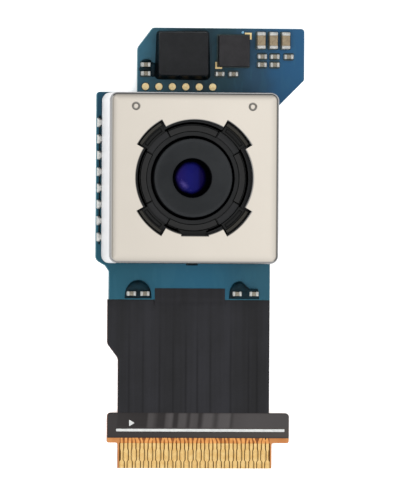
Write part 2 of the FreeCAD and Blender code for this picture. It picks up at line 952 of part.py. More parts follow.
def focus_carrier():
    """Moulded tub that rides up and down on the guide balls, open for the two shift magnets."""
    body = cut_block(-carrier_x, carrier_x, -carrier_y, carrier_y, corner_cut, carrier_z, carrier_top_z)
    opening = shift_magnet_width / 2 + moving_gap
    cuts = [
        box(-room_x, room_x, -room_y, room_y, floor_top_z, carrier_top_z),
        faceted_disc(carrier_bore_radius, carrier_z, floor_top_z, bore_flat_count),
        box(0, carrier_x, -opening, opening, floor_top_z, carrier_top_z),
        box(-opening, opening, 0, carrier_y, floor_top_z, carrier_top_z),
        focus_magnet(),
    ]
    cuts += [shift_groove(place, "x") for place in frame_ball_places()]
    cuts += guide_grooves(carrier_z, carrier_top_z)
    feet = [
        faceted_disc(carrier_foot_radius, carrier_z - carrier_foot_height, carrier_z, small_flat_count, x, y)
        for x, y in corners_of(carrier_x - carrier_foot_inset, carrier_y - carrier_foot_inset)
    ]
    return joined([body.cut(cuts)] + feet)


def focus_magnet():
    """Bar magnet in the carrier wall, facing the focus coil."""
    half = focus_magnet_width / 2
    return box(
        -half, half, -carrier_y, -carrier_y + focus_magnet_thickness,
        coil_centre_z - focus_magnet_height / 2, coil_centre_z + focus_magnet_height / 2,
    )


def guide_balls():
    """Two stacks of balls between the focus carrier and the housing wall."""
    places = []
    lowest = carrier_z + guide_ball_radius
    for x in (-guide_ball_x, guide_ball_x):
        for i in range(guide_ball_count):
            places.append((x, guide_ball_y(), lowest + i * guide_ball_pitch))
    return balls(places, guide_ball_radius)


def ear(middle):
    """One of the four ears that rise into the notches of the can, with a raised rim."""
    side = notch_half_angle - math.degrees(ear_side_gap / ear_radius)
    plateau = sector(
        ear_radius, ear_root_radius, middle, side, carrier_top_z, stopper_top_z + ear_plateau_height
    )
    rim = sector(
        ear_radius, ear_radius - ear_rim_width, middle, side, carrier_top_z, stopper_top_z + ear_rim_height
    )
    return [plateau, rim]


def stopper_ring():
    """Top ring of the carrier: two steps down to a bore ring with four pads, ears, tab and bumpers."""
    rim_z = stopper_top_z + stopper_rim_height
    step_z = stopper_top_z + stopper_step_height
    plate = cut_block(-carrier_x, carrier_x, -carrier_y, carrier_y, corner_cut, carrier_top_z, rim_z)
    plate = plate.cut([
        cylinder(stopper_rim_radius, step_z, rim_z),
        cylinder(stopper_step_radius, stopper_top_z, step_z),
    ])
    solids = [plate]
    for quarter in range(4):
        axis = 90 * quarter
        solids += ear(axis + 45)
        solids.append(sector(
            stopper_pad_outer_radius, stopper_pad_inner_radius, axis, stopper_pad_half_angle,
            carrier_top_z, stopper_top_z + stopper_pad_height,
        ))
        solids.append(sector(
            ear_root_radius + 2 * running_gap, stopper_pad_inner_radius, axis + 45,
            45 - stopper_pad_half_angle - stopper_pad_gap_angle, carrier_top_z, step_z,
        ))
    bumper_top = can_top_z - can_wall - focus_travel - running_gap
    for x, y in corners_of(carrier_x - bumper_size / 2, carrier_y - bumper_size / 2):
        solids.append(centred_box(x, y, bumper_size, bumper_size, carrier_top_z, bumper_top))
    tab_root = stopper_pad_outer_radius
    solids.append(box(-tab_width / 2, tab_width / 2, -tab_root - tab_length, -tab_root, carrier_top_z, rim_z))
    return joined(solids).cut(cylinder(stopper_bore_radius, carrier_top_z, can_top_z))


def shift_frame():
    """Flat frame between the two layers of shift balls; it moves along X on the carrier."""
    body = cut_block(-plate_x, plate_x, -plate_y, plate_y, corner_cut, frame_z, frame_top_z)
    cuts = [faceted_disc(frame_bore_radius, frame_z, frame_top_z, bore_flat_count)]
    cuts += [shift_groove(place, "x") for place in frame_ball_places()]
    cuts += [shift_groove(place, "y") for place in holder_ball_places()]
    return body.cut(cuts)


def lens_holder():
    """Tube that the barrel is glued into, on a plate that runs on the upper balls, with magnet seats."""
    plate = cut_block(-plate_x, plate_x, -plate_y, plate_y, corner_cut, flange_z, flange_top_z)
    tube = faceted_disc(tube_radius, barrel_bottom_z + tube_lift, lens_holder_top_z, bore_flat_count)
    half = shift_magnet_width / 2
    seat_x = magnet_face_x - shift_magnet_thickness
    seat_y = magnet_face_y - shift_magnet_thickness
    seats = [
        box(seat_x - magnet_seat, seat_x, -half, half, flange_z, lens_holder_top_z - running_gap),
        box(-half, half, seat_y - magnet_seat, seat_y, flange_z, lens_holder_top_z - running_gap),
    ]
    body = joined([plate, tube] + seats)
    cuts = [cylinder(tube_bore_radius, 0, can_top_z)]
    cuts += [shift_groove(place, "y") for place in holder_ball_places()]
    return body.cut(cuts)


def shift_magnet_x():
    x = magnet_face_x - shift_magnet_thickness
    half = shift_magnet_width / 2
    return box(x, magnet_face_x, -half, half, shift_magnet_z, shift_magnet_z + shift_magnet_height)


def shift_magnet_y():
    y = magnet_face_y - shift_magnet_thickness
    half = shift_magnet_width / 2
    return box(-half, half, y, magnet_face_y, shift_magnet_z, shift_magnet_z + shift_magnet_height)


def lens_levels():
    """Height of the top face of each lens edge, working down from the seat in the barrel."""
    levels = []
    z = lens_seat_z
    for edge in lens_edges:
        levels.append(z)
        z -= edge + spacer_thickness
    return levels


def lens_barrel():
    """Turned barrel: coned nose round the aperture, plain outside, stepped bore that holds the lenses."""
    shoulder_z = carrier_top_z - nose_shoulder_gap
    profile = [
        (aperture_radius, barrel_bottom_z),
        (barrel_radius, barrel_bottom_z),
        (barrel_radius, shoulder_z),
        (nose_radius, shoulder_z),
        (nose_radius, nose_top_z - nose_chamfer),
        (nose_radius - nose_chamfer, nose_top_z),
        (nose_radius - nose_rim, nose_top_z),
        (aperture_radius, aperture_top_z),
    ]
    bore = []
    for radius, top in zip(lens_radii, lens_levels()):
        seat = lens_seat_z if top == lens_seat_z else top + spacer_thickness
        bore.append(faceted_disc(radius + lens_edge_gap, barrel_bottom_z, seat, bore_flat_count))
    return turned(profile).cut(bore)


def sphere_height(at, clear, sag):
    """Height over its rim, at a distance from the axis, of a spherical face that is sag high at the axis."""
    radius = (clear * clear + sag * sag) / (2 * sag)
    return sag - radius + math.copysign(math.sqrt(radius * radius - at * at), radius)


def front_lens():
    """The lens that shows in the aperture: flat edge ring, spherical front and shallow coned back."""
    top = lens_seat_z
    bottom = top - lens_edges[0]
    radius = lens_radii[0]
    clear = lens_clear[0]
    front_sag = lens_front_sag[0]
    crown = point(0, 0, top + front_sag)
    hollow = point(0, 0, bottom - lens_back_sag[0])
    front_middle = point(clear / 2, 0, top + sphere_height(clear / 2, clear, front_sag))
    front_rim = point(clear, 0, top)
    back_rim = point(clear, 0, bottom)
    wire = Part.Wire([
        Part.Arc(crown, front_middle, front_rim).toShape(),
        Part.LineSegment(front_rim, point(radius, 0, top)).toShape(),
        Part.LineSegment(point(radius, 0, top), point(radius, 0, bottom)).toShape(),
        Part.LineSegment(point(radius, 0, bottom), back_rim).toShape(),
        Part.LineSegment(back_rim, hollow).toShape(),
        Part.LineSegment(hollow, crown).toShape(),
    ])
    return Part.Face(wire).revolve(point(0, 0, 0), up, 360)


def inner_lens(index):
    """A lens inside the barrel: a flat edge ring, and each face a cone with a flat middle, in facets."""
    top = lens_levels()[index]
    bottom = top - lens_edges[index]
    radius = lens_radii[index]
    clear = lens_clear[index]
    middle = clear / 2
    return stack([
        flat_ring(middle, bottom - lens_back_sag[index], disc_flat_count),
        flat_ring(clear, bottom, disc_flat_count),
        flat_ring(radius, bottom, disc_flat_count),
        flat_ring(radius, top, disc_flat_count),
        flat_ring(clear, top, disc_flat_count),
        flat_ring(middle, top + lens_front_sag[index], disc_flat_count),
    ])


def faceted_washer(outer, inner, z0, z1):
    return faceted_disc(outer, z0, z1, disc_flat_count).cut(faceted_disc(inner, z0, z1, disc_flat_count))


def lens_spacers():
    """Thin black rings between neighbouring lenses."""
    spacers = []
    levels = lens_levels()
    for i in range(1, len(lens_radii)):
        bore = max(lens_clear[i - 1], lens_clear[i]) + spacer_lip
        spacers.append(faceted_washer(lens_radii[i], bore, levels[i], levels[i] + spacer_thickness))
    return Part.makeCompound(spacers)


def lens_retainer():
    """Ring pressed in behind the last lens."""
    top = lens_levels()[-1] - lens_edges[-1]
    return faceted_washer(lens_radii[-1], retainer_bore_radius, top - retainer_height, top)


def main():
    os.makedirs("parts", exist_ok=True)
    large_bodies, large_ends = capacitors(large_capacitor_places, large_capacitor)
    small_bodies, small_ends = capacitors(small_capacitor_places, small_capacitor)
    pieces = {
        "back_plate": back_plate(),
        "rigid_board": rigid_board(),
        "flex_tail": flex_tail(),
        "shield_film": shield_film(),
        "tail_back_film": tail_back_film(),
        "contact_cover": contact_cover(),
        "contact_stiffener": contact_stiffener(),
        "contact_fingers": contact_fingers(),
        "test_pads": test_pads(),
        "corner_marks": corner_marks(),
        "image_sensor": image_sensor(),
        "sensor_holder": sensor_holder(),
        "ir_filter": ir_filter(),
        "shield_can": shield_can(),
        "actuator_housing": actuator_housing(),
        "coil_flex": coil_flex(),
        "focus_coil": on_wall(coil(), "minus_y"),
        "shift_coil_x": on_wall(coil(), "plus_x"),
        "shift_coil_y": on_wall(coil(), "plus_y"),
        "focus_driver_chip": on_wall(chip_in_coil(), "minus_y"),
        "hall_sensor_x": on_wall(chip_in_coil(), "plus_x"),
        "hall_sensor_y": on_wall(chip_in_coil(), "plus_y"),
        "focus_yoke": focus_yoke(),
        "side_terminals": side_terminals(),
        "terminal_solder": terminal_solder(),
        "control_chip": chip(control_chip),
        "control_chip_underfill": control_chip_underfill(),
        "motion_chip": chip(motion_chip),
        "large_capacitor_bodies": large_bodies,
        "large_capacitor_ends": large_ends,
        "small_capacitor_bodies": small_bodies,
        "small_capacitor_ends": small_ends,
        "glue_domes": glue_domes(),
        "focus_carrier": focus_carrier(),
        "focus_magnet": focus_magnet(),
        "guide_balls": guide_balls(),
        "stopper_ring": stopper_ring(),
        "shift_frame": shift_frame(),
        "frame_balls": balls(frame_ball_places(), shift_ball_radius),
        "lens_holder": lens_holder(),
        "holder_balls": balls(holder_ball_places(), shift_ball_radius),
        "shift_magnet_x": shift_magnet_x(),
        "shift_magnet_y": shift_magnet_y(),
        "lens_barrel": lens_barrel(),
        "lens_spacers": lens_spacers(),
        "lens_retainer": lens_retainer(),
    }
    pieces["lens_element_1"] = front_lens()
    for i in range(1, len(lens_radii)):
        pieces["lens_element_%d" % (i + 1)] = inner_lens(i)
    for name, shape in pieces.items():
        save(name, shape)


main()
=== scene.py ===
"""Camera module: visible surfaces, finishes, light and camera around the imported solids.

Laid out as an add-on and run as a script. Shapes are worked out in millimetres in the frame of the
solids: origin on the optical axis under the back plate, +Z out of the lens, +Y towards the chips.
"""

import math

import bmesh
import bpy
import numpy as np
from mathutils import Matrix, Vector


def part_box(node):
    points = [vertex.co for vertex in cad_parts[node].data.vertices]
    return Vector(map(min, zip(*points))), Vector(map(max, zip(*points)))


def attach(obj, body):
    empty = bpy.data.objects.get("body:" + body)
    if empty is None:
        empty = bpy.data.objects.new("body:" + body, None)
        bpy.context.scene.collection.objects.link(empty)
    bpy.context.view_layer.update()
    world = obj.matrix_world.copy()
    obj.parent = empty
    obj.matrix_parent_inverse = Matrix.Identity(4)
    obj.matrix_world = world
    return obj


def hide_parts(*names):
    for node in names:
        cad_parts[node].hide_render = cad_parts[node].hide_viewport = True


bl_info = {
    "name": "Camera module surfaces",
    "version": (1, 0, 0),
    "blender": (4, 5, 0),
    "location": "View3D > Sidebar > Camera module",
    "description": "Can, lens nose, circuit boards, chips and contacts of a small camera module",
    "category": "Mesh",
}

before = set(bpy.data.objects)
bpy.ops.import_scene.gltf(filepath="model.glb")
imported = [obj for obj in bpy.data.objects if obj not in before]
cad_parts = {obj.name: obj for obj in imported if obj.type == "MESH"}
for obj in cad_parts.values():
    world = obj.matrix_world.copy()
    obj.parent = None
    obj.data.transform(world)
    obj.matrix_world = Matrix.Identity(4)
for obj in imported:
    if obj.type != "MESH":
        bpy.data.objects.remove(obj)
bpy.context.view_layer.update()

MM = 0.001
BLACK = (0.0, 0.0, 0.0, 1.0)
WHITE = (1.0, 1.0, 1.0, 1.0)
FRONT_SAG = 0.22
EAR_PLAY_DEGREES = 1.75


def extent(node):
    """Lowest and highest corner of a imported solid, in millimetres."""
    low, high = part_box(node)
    return np.array(low) / MM, np.array(high) / MM


def solids_of(node):
    """Lowest and highest corner of each loose solid in a node, in millimetres, from left to right.

    Corners at one place count as one, and the lowest label spreads along the edges until it is even.
    """
    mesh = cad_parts[node].data
    points = np.empty(3 * len(mesh.vertices), np.float32)
    mesh.vertices.foreach_get("co", points)
    points = points.reshape(-1, 3) / MM
    edges = np.empty(2 * len(mesh.edges), np.int32)
    mesh.edges.foreach_get("vertices", edges)
    places, same = np.unique(np.round(points, 4), axis=0, return_inverse=True)
    first, second = same.reshape(-1)[edges.reshape(-1, 2)].T
    label = np.arange(len(places))
    while True:
        lower = np.minimum(label[first], label[second])
        spread = label.copy()
        np.minimum.at(spread, first, lower)
        np.minimum.at(spread, second, lower)
        if np.array_equal(spread, label):
            break
        label = spread
    found = [(places[label == one].min(0), places[label == one].max(0)) for one in np.unique(label)]
    return sorted(found, key=lambda pair: tuple(np.round(pair[0], 2)))


def srgb(red, green, blue):
    """A colour given as 0 to 255 screen values, as the linear values that a socket takes."""
    screen = np.array([red, green, blue]) / 255
    linear = np.where(screen <= 0.04045, screen / 12.92, ((screen + 0.055) / 1.055) ** 2.4)
    return (*linear.tolist(), 1.0)


# Meshes from arrays of points

def unit(vectors):
    """Each vector divided by its own length."""
    return vectors / np.linalg.norm(vectors, axis=-1, keepdims=True)


def smooth_step(low, high, values):
    """0 below low, 1 above high, and 3t^2 - 2t^3 between them."""
    t = np.clip((values - low) / (high - low), 0, 1)
    return t * t * (3 - 2 * t)


def window(low, high, soft, values):
    """1 between low and high and 0 outside, with a smooth step over soft on both sides of each."""
    return smooth_step(low - soft, low + soft, values) * smooth_step(high + soft, high - soft, values)


def grid(points, wrap_rows=False):
    """A patch from points[row, column], closed round its columns: one quad between each four neighbours."""
    rows, columns = points.shape[:2]
    i, j = np.meshgrid(np.arange(rows if wrap_rows else rows - 1), np.arange(columns), indexing="ij")
    next_i = (i + 1) % rows
    next_j = (j + 1) % columns
    quads = np.stack(
        [i * columns + j, next_i * columns + j, next_i * columns + next_j, i * columns + next_j], -1
    )
    return points.reshape(-1, 3), quads.reshape(-1, 4).tolist()


def capped_grid(points):
    """A grid that is closed round its columns, with one flat face over its first and last rows."""
    vertices, faces = grid(points)
    rows, columns = points.shape[:2]
    first = list(range(columns))
    last = list(range((rows - 1) * columns, rows * columns))
    return vertices, faces + [first[::-1], last]


def rounded_outline(corners, steps):
    """Closed outline through corners (x, y, radius): each is the arc centre + turned start radius."""
    corners = np.array(corners, float)
    parts = []
    for before, here, after in zip(np.roll(corners, 1, 0), corners, np.roll(corners, -1, 0)):
        corner, radius = here[:2], here[2]
        if radius <= 0:
            parts.append(corner[None])
            continue
        back = unit(before[:2] - corner)
        on = unit(after[:2] - corner)
        half = np.arccos(np.clip(back @ on, -1, 1)) / 2
        centre = corner + unit(back + on) * radius / np.sin(half)
        start = corner + back * radius / np.tan(half) - centre
        end = corner + on * radius / np.tan(half) - centre
        sweep = np.arctan2(start[0] * end[1] - start[1] * end[0], start @ end)
        turn = np.linspace(0, sweep, steps)
        cos, sin = np.cos(turn), np.sin(turn)
        arc = np.stack([cos * start[0] - sin * start[1], sin * start[0] + cos * start[1]], -1)
        parts.append(centre + arc)
    return np.concatenate(parts)


def rectangle(x0, x1, y0, y1, radius, steps=5):
    """A closed rectangle with one radius at its four corners."""
    corners = [(x0, y0, radius), (x1, y0, radius), (x1, y1, radius), (x0, y1, radius)]
    return rounded_outline(corners, steps)


def mitres(outline):
    """Outward shift of each outline point per unit of offset: (n1 + n2) / (1 + n1.n2) of its two sides."""
    after = unit(np.roll(outline, -1, 0) - outline)
    before = np.roll(after, 1, 0)
    after = np.stack([after[:, 1], -after[:, 0]], -1)
    before = np.stack([before[:, 1], -before[:, 0]], -1)
    area = np.sum(outline[:, 0] * np.roll(outline[:, 1], -1) - outline[:, 1] * np.roll(outline[:, 0], -1))
    shift = (before + after) / (1 + np.sum(before * after, -1, keepdims=True))
    return shift * np.sign(area)


def directions(turn):
    """(cos t, sin t) for each angle t."""
    return np.stack([np.cos(turn), np.sin(turn)], -1)


def raised(flat, height):
    """Points (x, y, z) from points (x, y) and one height for all, for each row or for each point."""
    height = np.broadcast_to(height, flat.shape[:-1])
    return np.concatenate([flat, height[..., None]], -1)


def rings(outline, inset, height):
    """points[k, i] = outline[i] - inset[k, i] * mitre[i], at height[k, i]; one column serves every i."""
    return raised(outline - inset[..., None] * mitres(outline), height)


def plate(outline, low, high, low_radius, high_radius, steps=4):
    """A closed plate between two heights, with a quarter circle round its lower and its upper edge."""
    turn = np.linspace(0, np.pi / 2, steps)[:, None]
    inset = [low_radius * (1 - np.sin(turn)), high_radius * (1 - np.cos(turn))]
    height = [low + low_radius * (1 - np.cos(turn)), high - high_radius * (1 - np.sin(turn))]
    for side, radius in enumerate((low_radius, high_radius)):
        if radius <= 0:
            inset[side] = inset[side][:1]
            height[side] = height[side][:1]
    return capped_grid(rings(outline, np.concatenate(inset), np.concatenate(height)))


def dome(outline, centre, base, height, fullness, steps=6):
    """A drop: ring k is the outline shrunk to cos(t)^fullness about its centre, at base + height sin(t)."""
    tip = 0.12
    turn = np.linspace(0, np.arccos(tip ** (1 / fullness)), steps)[:, None]
    flat = centre + np.cos(turn)[..., None] ** fullness * (outline - centre)
    return capped_grid(raised(flat, base + height * np.sin(turn)))


def turned(profile, columns):
    """A closed ring turned about the axis: (r cos t, r sin t, z) for each (r, z) of a closed profile."""
    circle = directions(np.linspace(0, 2 * np.pi, columns, endpoint=False))
    profile = np.array(profile, float)
    return raised(profile[:, :1, None] * circle, profile[:, 1:])


def ripple(count, length, seed):
    """A smooth closed wave of a few random harmonics, for an edge that was never drawn with a ruler."""
    random = np.random.default_rng(seed)
    turn = np.linspace(0, 2 * np.pi, length, endpoint=False)
    order = np.arange(1, count + 1)[:, None]
    phase = random.uniform(0, 2 * np.pi, (count, 1))
    size = random.uniform(0.3, 1.0, (count, 1)) / order
    return np.sum(size * np.sin(order * turn + phase), 0)


def uneven(outline, centre, amount, seed):
    """The outline pushed out from its centre, and in towards it, by a ripple of five harmonics."""
    return centre + (outline - centre) * (1 + amount * ripple(5, len(outline), seed))[:, None]


def add_piece(name, patches, finish, body="root", stands_for=(), sharp_degrees=35.0):
    """Joins patches into one mesh, closes their seams, turns them outwards and hangs it on its body."""
    merge_distance = 2e-8
    shortest_edge = 1e-9
    vertices = []
    faces = []
    count = 0
    for points, quads in patches:
        faces += [[index + count for index in face] for face in quads]
        vertices.append(points)
        count += len(points)
    mesh = bpy.data.meshes.new(name)
    mesh.from_pydata((np.concatenate(vertices) * MM).tolist(), [], faces)
    work = bmesh.new()
    work.from_mesh(mesh)
    bmesh.ops.remove_doubles(work, verts=work.verts, dist=merge_distance)
    bmesh.ops.dissolve_degenerate(work, edges=work.edges, dist=shortest_edge)
    bmesh.ops.recalc_face_normals(work, faces=work.faces)
    work.to_mesh(mesh)
    work.free()
    mesh.shade_smooth()
    mesh.set_sharp_from_angle(angle=math.radians(sharp_degrees))
    piece = bpy.data.objects.new(name, mesh)
    bpy.context.scene.collection.objects.link(piece)
    mesh.materials.append(finish)
    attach(piece, body)
    if stands_for:
        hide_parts(*stands_for)
    return piece


# Finishes

class Nodes:
    """Short calls that add nodes to one tree. A colour is three screen values or four linear ones."""

    def __init__(self, tree):
        self.tree = tree

    def feed(self, socket, value):
        """Links what comes out of another node, and writes any other value into the socket."""
        if isinstance(value, bpy.types.NodeSocket):
            self.tree.links.new(value, socket)
        else:
            socket.default_value = value

    def node(self, kind, links=(), **settings):
        """Adds a node, sets it up, and feeds its inputs."""
        made = self.tree.nodes.new(kind)
        for key, value in settings.items():
            setattr(made, key, value)
        for socket, value in dict(links).items():
            self.feed(made.inputs[socket], value)
        return made

    def screen(self, colour):
        """Three screen values as a linear colour, and any other value as it is."""
        return srgb(*colour) if isinstance(colour, tuple) and len(colour) == 3 else colour

    def ramp(self, value, stops, smooth=False):
        """Colour that runs through the stops as the value grows."""
        made = self.node("ShaderNodeValToRGB", {"Fac": value})
        ramp = made.color_ramp
        if smooth:
            ramp.interpolation = "EASE"
        while len(ramp.elements) < len(stops):
            ramp.elements.new(0.5)
        for element, (position, colour) in zip(ramp.elements, stops):
            element.position = position
            element.color = self.screen(colour)
        return made.outputs["Color"]

    def mask(self, value, low, high, smooth=False):
        """Black up to low and white from high."""
        return self.ramp(value, [(low, BLACK), (high, WHITE)], smooth)

    def spread(self, value, low, high, from_low=0.3, from_high=0.7):
        """Low where the value is from_low, high where it is from_high, and even between them."""
        return self.node("ShaderNodeMapRange", {
            "Value": value, "From Min": from_low, "From Max": from_high, "To Min": low, "To Max": high,
        }).outputs["Result"]

    def rise(self, value, low, high):
        """0 up to low and 1 from high."""
        return self.spread(value, 0.0, 1.0, low, high)

    def fall(self, value, low, high):
        """1 up to low and 0 from high."""
        return self.spread(value, 1.0, 0.0, low, high)

    def mix(self, share, first, second):
        """The first colour at 0 and the second at 1."""
        colours = {0: share, 6: self.screen(first), 7: self.screen(second)}
        return self.node("ShaderNodeMix", colours, data_type="RGBA").outputs[2]

    def maths(self, operation, first, second=0.0):
        """The operation on one or two numbers."""
        return self.node("ShaderNodeMath", {0: first, 1: second}, operation=operation).outputs[0]

    def plus(self, first, second):
        """first + second."""
        return self.maths("ADD", first, second)

    def minus(self, first, second):
        """first - second."""
        return self.maths("SUBTRACT", first, second)

    def times(self, first, second):
        """first * second."""
        return self.maths("MULTIPLY", first, second)

    def unsigned(self, value):
        """The value without its sign."""
        return self.maths("ABSOLUTE", value)

    def vector(self, operation, first, second=(0, 0, 0), output="Vector"):
        """The operation on one or two vectors."""
        return self.node("ShaderNodeVectorMath", {0: first, 1: second}, operation=operation).outputs[output]

    def axis(self, vector, index):
        """X, Y or Z of a vector."""
        return self.node("ShaderNodeSeparateXYZ", {"Vector": vector}).outputs[index]


class Finish(Nodes):
    """A material that is built up by short calls, in the object's own coordinates."""

    def __init__(self, name, roughness=0.5, metallic=0.0, specular=0.5):
        self.material = bpy.data.materials.new(name)
        self.material.use_nodes = True
        super().__init__(self.material.node_tree)
        self.shader = self.tree.nodes["Principled BSDF"]
        self.set("Roughness", roughness)
        self.set("Metallic", metallic)
        self.set("Specular IOR Level", specular)
        self.place = self.tree.nodes.new("ShaderNodeTexCoord").outputs["Object"]

    def set(self, socket, value):
        """Feeds one input of the material's shader."""
        self.feed(self.shader.inputs[socket], value)

    def at(self, index):
        """Where the point lies along X, Y or Z."""
        return self.axis(self.place, index)

    def along(self, index, low, high):
        """0 at low and 1 at high along X, Y or Z."""
        return self.rise(self.at(index), low, high)

    def from_axis(self):
        """Distance from the optical axis."""
        return self.vector("LENGTH", self.stretched(z=0.0), output="Value")

    def facing_up(self):
        """1 on a face that looks straight up or down, and 0 on a side."""
        return self.unsigned(self.axis(self.node("ShaderNodeNewGeometry").outputs["Normal"], 2))

    def stretched(self, x=1.0, y=1.0, z=1.0, turn=(0, 0, 0)):
        """The point with each axis scaled, then turned: a small scale draws a pattern out along its axis."""
        return self.node(
            "ShaderNodeMapping", {"Vector": self.place, "Scale": (x, y, z), "Rotation": turn}
        ).outputs["Vector"]

    def noise(self, size_mm, detail=3.0, place=None):
        """Noise whose patches are about size_mm across."""
        return self.node("ShaderNodeTexNoise", {
            "Vector": place or self.place, "Scale": 1 / (size_mm * MM), "Detail": detail, "Roughness": 0.55,
        }).outputs["Fac"]

    def waver(self, size_mm, amount):
        """Soft noise round zero, half the amount to either side at most."""
        return self.times(self.minus(self.noise(size_mm, detail=2.0), 0.5), amount)

    def patches(self, size_mm, first, second, low=0.3, high=0.7):
        """Two colours in soft patches."""
        return self.ramp(self.noise(size_mm), [(low, first), (high, second)])

    def bump(self, height, depth_mm):
        """Relief whose height of 0 to 1 stands for depth_mm."""
        made = self.node("ShaderNodeBump", {"Height": height, "Distance": depth_mm * MM, "Strength": 1.0})
        self.set("Normal", made.outputs["Normal"])

    def tooth(self, size_mm, depth_mm):
        """A fine even relief."""
        self.bump(self.noise(size_mm, detail=2.0), depth_mm)


def two_tone(name, first, second, size_mm, roughness=(0.4, 0.5), metallic=0.0, specular=0.5,
             bump_mm=0.0, bump_size_mm=0.05):
    """A finish of two close colours in soft patches, with its own roughness range and fine relief."""
    made = Finish(name, metallic=metallic, specular=specular)
    made.set("Base Color", made.patches(size_mm, first, second, 0.35, 0.65))
    made.set("Roughness", made.spread(made.noise(size_mm * 0.4), *roughness))
    if bump_mm:
        made.tooth(bump_size_mm, bump_mm)
    return made.material


def can_metal(settings):
    """Satin sheet: pale warm metal with cloudy patches and painted light that pales the face to one side,
    walls painted paler and bends painted darker for the light and the dark reflections they catch, and
    painted shade in the dimples' grooves.
    """
    made = Finish("can_metal")
    pale = (*settings.can_colour, 1.0)
    warm = (*(part * 0.87 for part in settings.can_colour), 1.0)
    # Painted light: the face pales towards +X and, a quarter as fast, towards +Y.
    painted_light_drift = made.plus(made.at(0), made.times(made.at(1), 0.25))
    painted_light_drift = made.spread(painted_light_drift, 0.0, 0.65, -5.5 * MM, 5.5 * MM)
    clouds = made.times(made.noise(3.2, detail=2.0), 0.35)
    face = made.ramp(made.plus(clouds, painted_light_drift), [(0.12, warm), (0.85, pale)])
    mirrored = made.vector("ABSOLUTE", made.vector("SUBTRACT", made.place, (settings.dimple_shift, 0, 0)))
    flat = made.vector("SUBTRACT", mirrored, (settings.dimple_x, settings.dimple_y, 0))
    away = made.vector("LENGTH", made.vector("MULTIPLY", flat, (1, 1, 0)), output="Value")
    off = made.unsigned(made.minus(away, settings.dimple_radius))
    # Painted shade: the round groove of each upper dimple is painted darker.
    groove = made.fall(off, settings.dimple_width * 0.45, settings.dimple_width * 1.1)
    groove = made.times(groove, made.maths("GREATER_THAN", made.at(1), 0.0))
    face = made.mix(groove, face, (140, 134, 124))
    facing = made.facing_up()
    # Painted light and shade: by how the sheet faces, the walls are painted paler and the bends darker, for
    # the light and the dark reflections they catch.
    sides = made.ramp(facing, [
        (0.06, (240, 240, 241)), (0.32, (166, 166, 167)), (0.76, (160, 160, 160)), (0.92, (220, 218, 214)),
    ])
    made.set("Base Color", made.mix(made.mask(facing, 0.86, 0.97), sides, face))
    up = made.mask(facing, 0.02, 0.30)
    made.set("Metallic", made.spread(up, 0.80, 1.0, 0.0, 1.0))
    grain = made.noise(0.05, detail=4.0, place=made.stretched(y=0.06))
    made.set("Roughness", made.plus(made.spread(grain, 0.13, 0.18), made.spread(up, 0.22, 0.0, 0.0, 1.0)))
    made.bump(grain, 0.0002)
    return made.material


def solder_mask(settings):
    """Blue lacquer: dark and greenish in the middle of the head, partly painted shade round the chips, bluer
    to the right, teal at the neck.
    """
    made = Finish("board_lacquer", roughness=0.30, specular=0.22)
    low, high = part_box("rigid_board")
    across = made.plus(made.along(0, low[0], high[0]), made.waver(1.6, 0.16))
    # The dark stops near the middle are partly the lacquer's own tone and partly painted shade round the
    # chips.
    head = made.ramp(across, [
        (0.02, (26, 68, 88)), (0.16, (46, 90, 110)), (0.30, (40, 76, 90)), (0.50, (23, 46, 56)),
        (0.62, (28, 60, 72)), (0.76, (36, 70, 94)), (0.90, (*settings.board_colour, 1.0)),
    ], smooth=True)
    neck = [(0.10, (24, 80, 98)), (0.50, (30, 86, 110)), (0.85, (36, 78, 94))]
    neck = made.ramp(across, neck, smooth=True)
    face = made.mix(made.fall(made.along(1, low[1], high[1]), 0.40, 0.70), head, neck)
    tracks = made.noise(0.55, detail=1.0, place=made.stretched(y=0.25, turn=(0, 0, 0.7)))
    face = made.mix(made.spread(tracks, 0.0, 0.12, 0.54, 0.58), face, (48, 100, 118))
    edge = made.patches(0.12, (36, 110, 124), (84, 142, 156))
    made.set("Base Color", made.mix(made.mask(made.facing_up(), 0.55, 0.9), edge, face))
    made.bump(tracks, 0.002)
    return made.material


def tail_film(name, low, high, streaks, ribs_mm=()):
    """Black shield film: streaks along the tail and dark ribs, painted light and shade of the ridges that
    the tracks below raise in it, and a fine tooth.
    """
    made = Finish(name, specular=0.22)
    # Painted light and shade: streaks along the tail for the ridges over the tracks below.
    lines = made.noise(0.85, place=made.stretched(y=0.03))
    cloud = made.noise(1.6, detail=2.0)
    value = made.plus(made.times(lines, streaks), made.times(cloud, 1 - streaks))
    face = made.ramp(value, [(0.38, low), (0.62, high)])
    if ribs_mm:
        # Painted shade: dark ribs across the film, strongest towards its lower end.
        reach = 5.0
        half_rib = 0.095
        bent = made.plus(made.at(0), made.times(made.noise(1.2), 0.05 * MM))
        across = made.rise(bent, -reach * MM, reach * MM)
        stops = [
            (0.5 + (place + side * half_rib) / (2 * reach), BLACK if side else WHITE)
            for place in ribs_mm for side in (-1, 0, 1)
        ]
        lower = made.spread(made.at(1), 0.55, 0.15, -10.8 * MM, -8.8 * MM)
        face = made.mix(made.times(made.ramp(across, stops), lower), face, (8, 8, 10))
    made.set("Base Color", face)
    made.tooth(0.04, 0.0012)
    return made.material


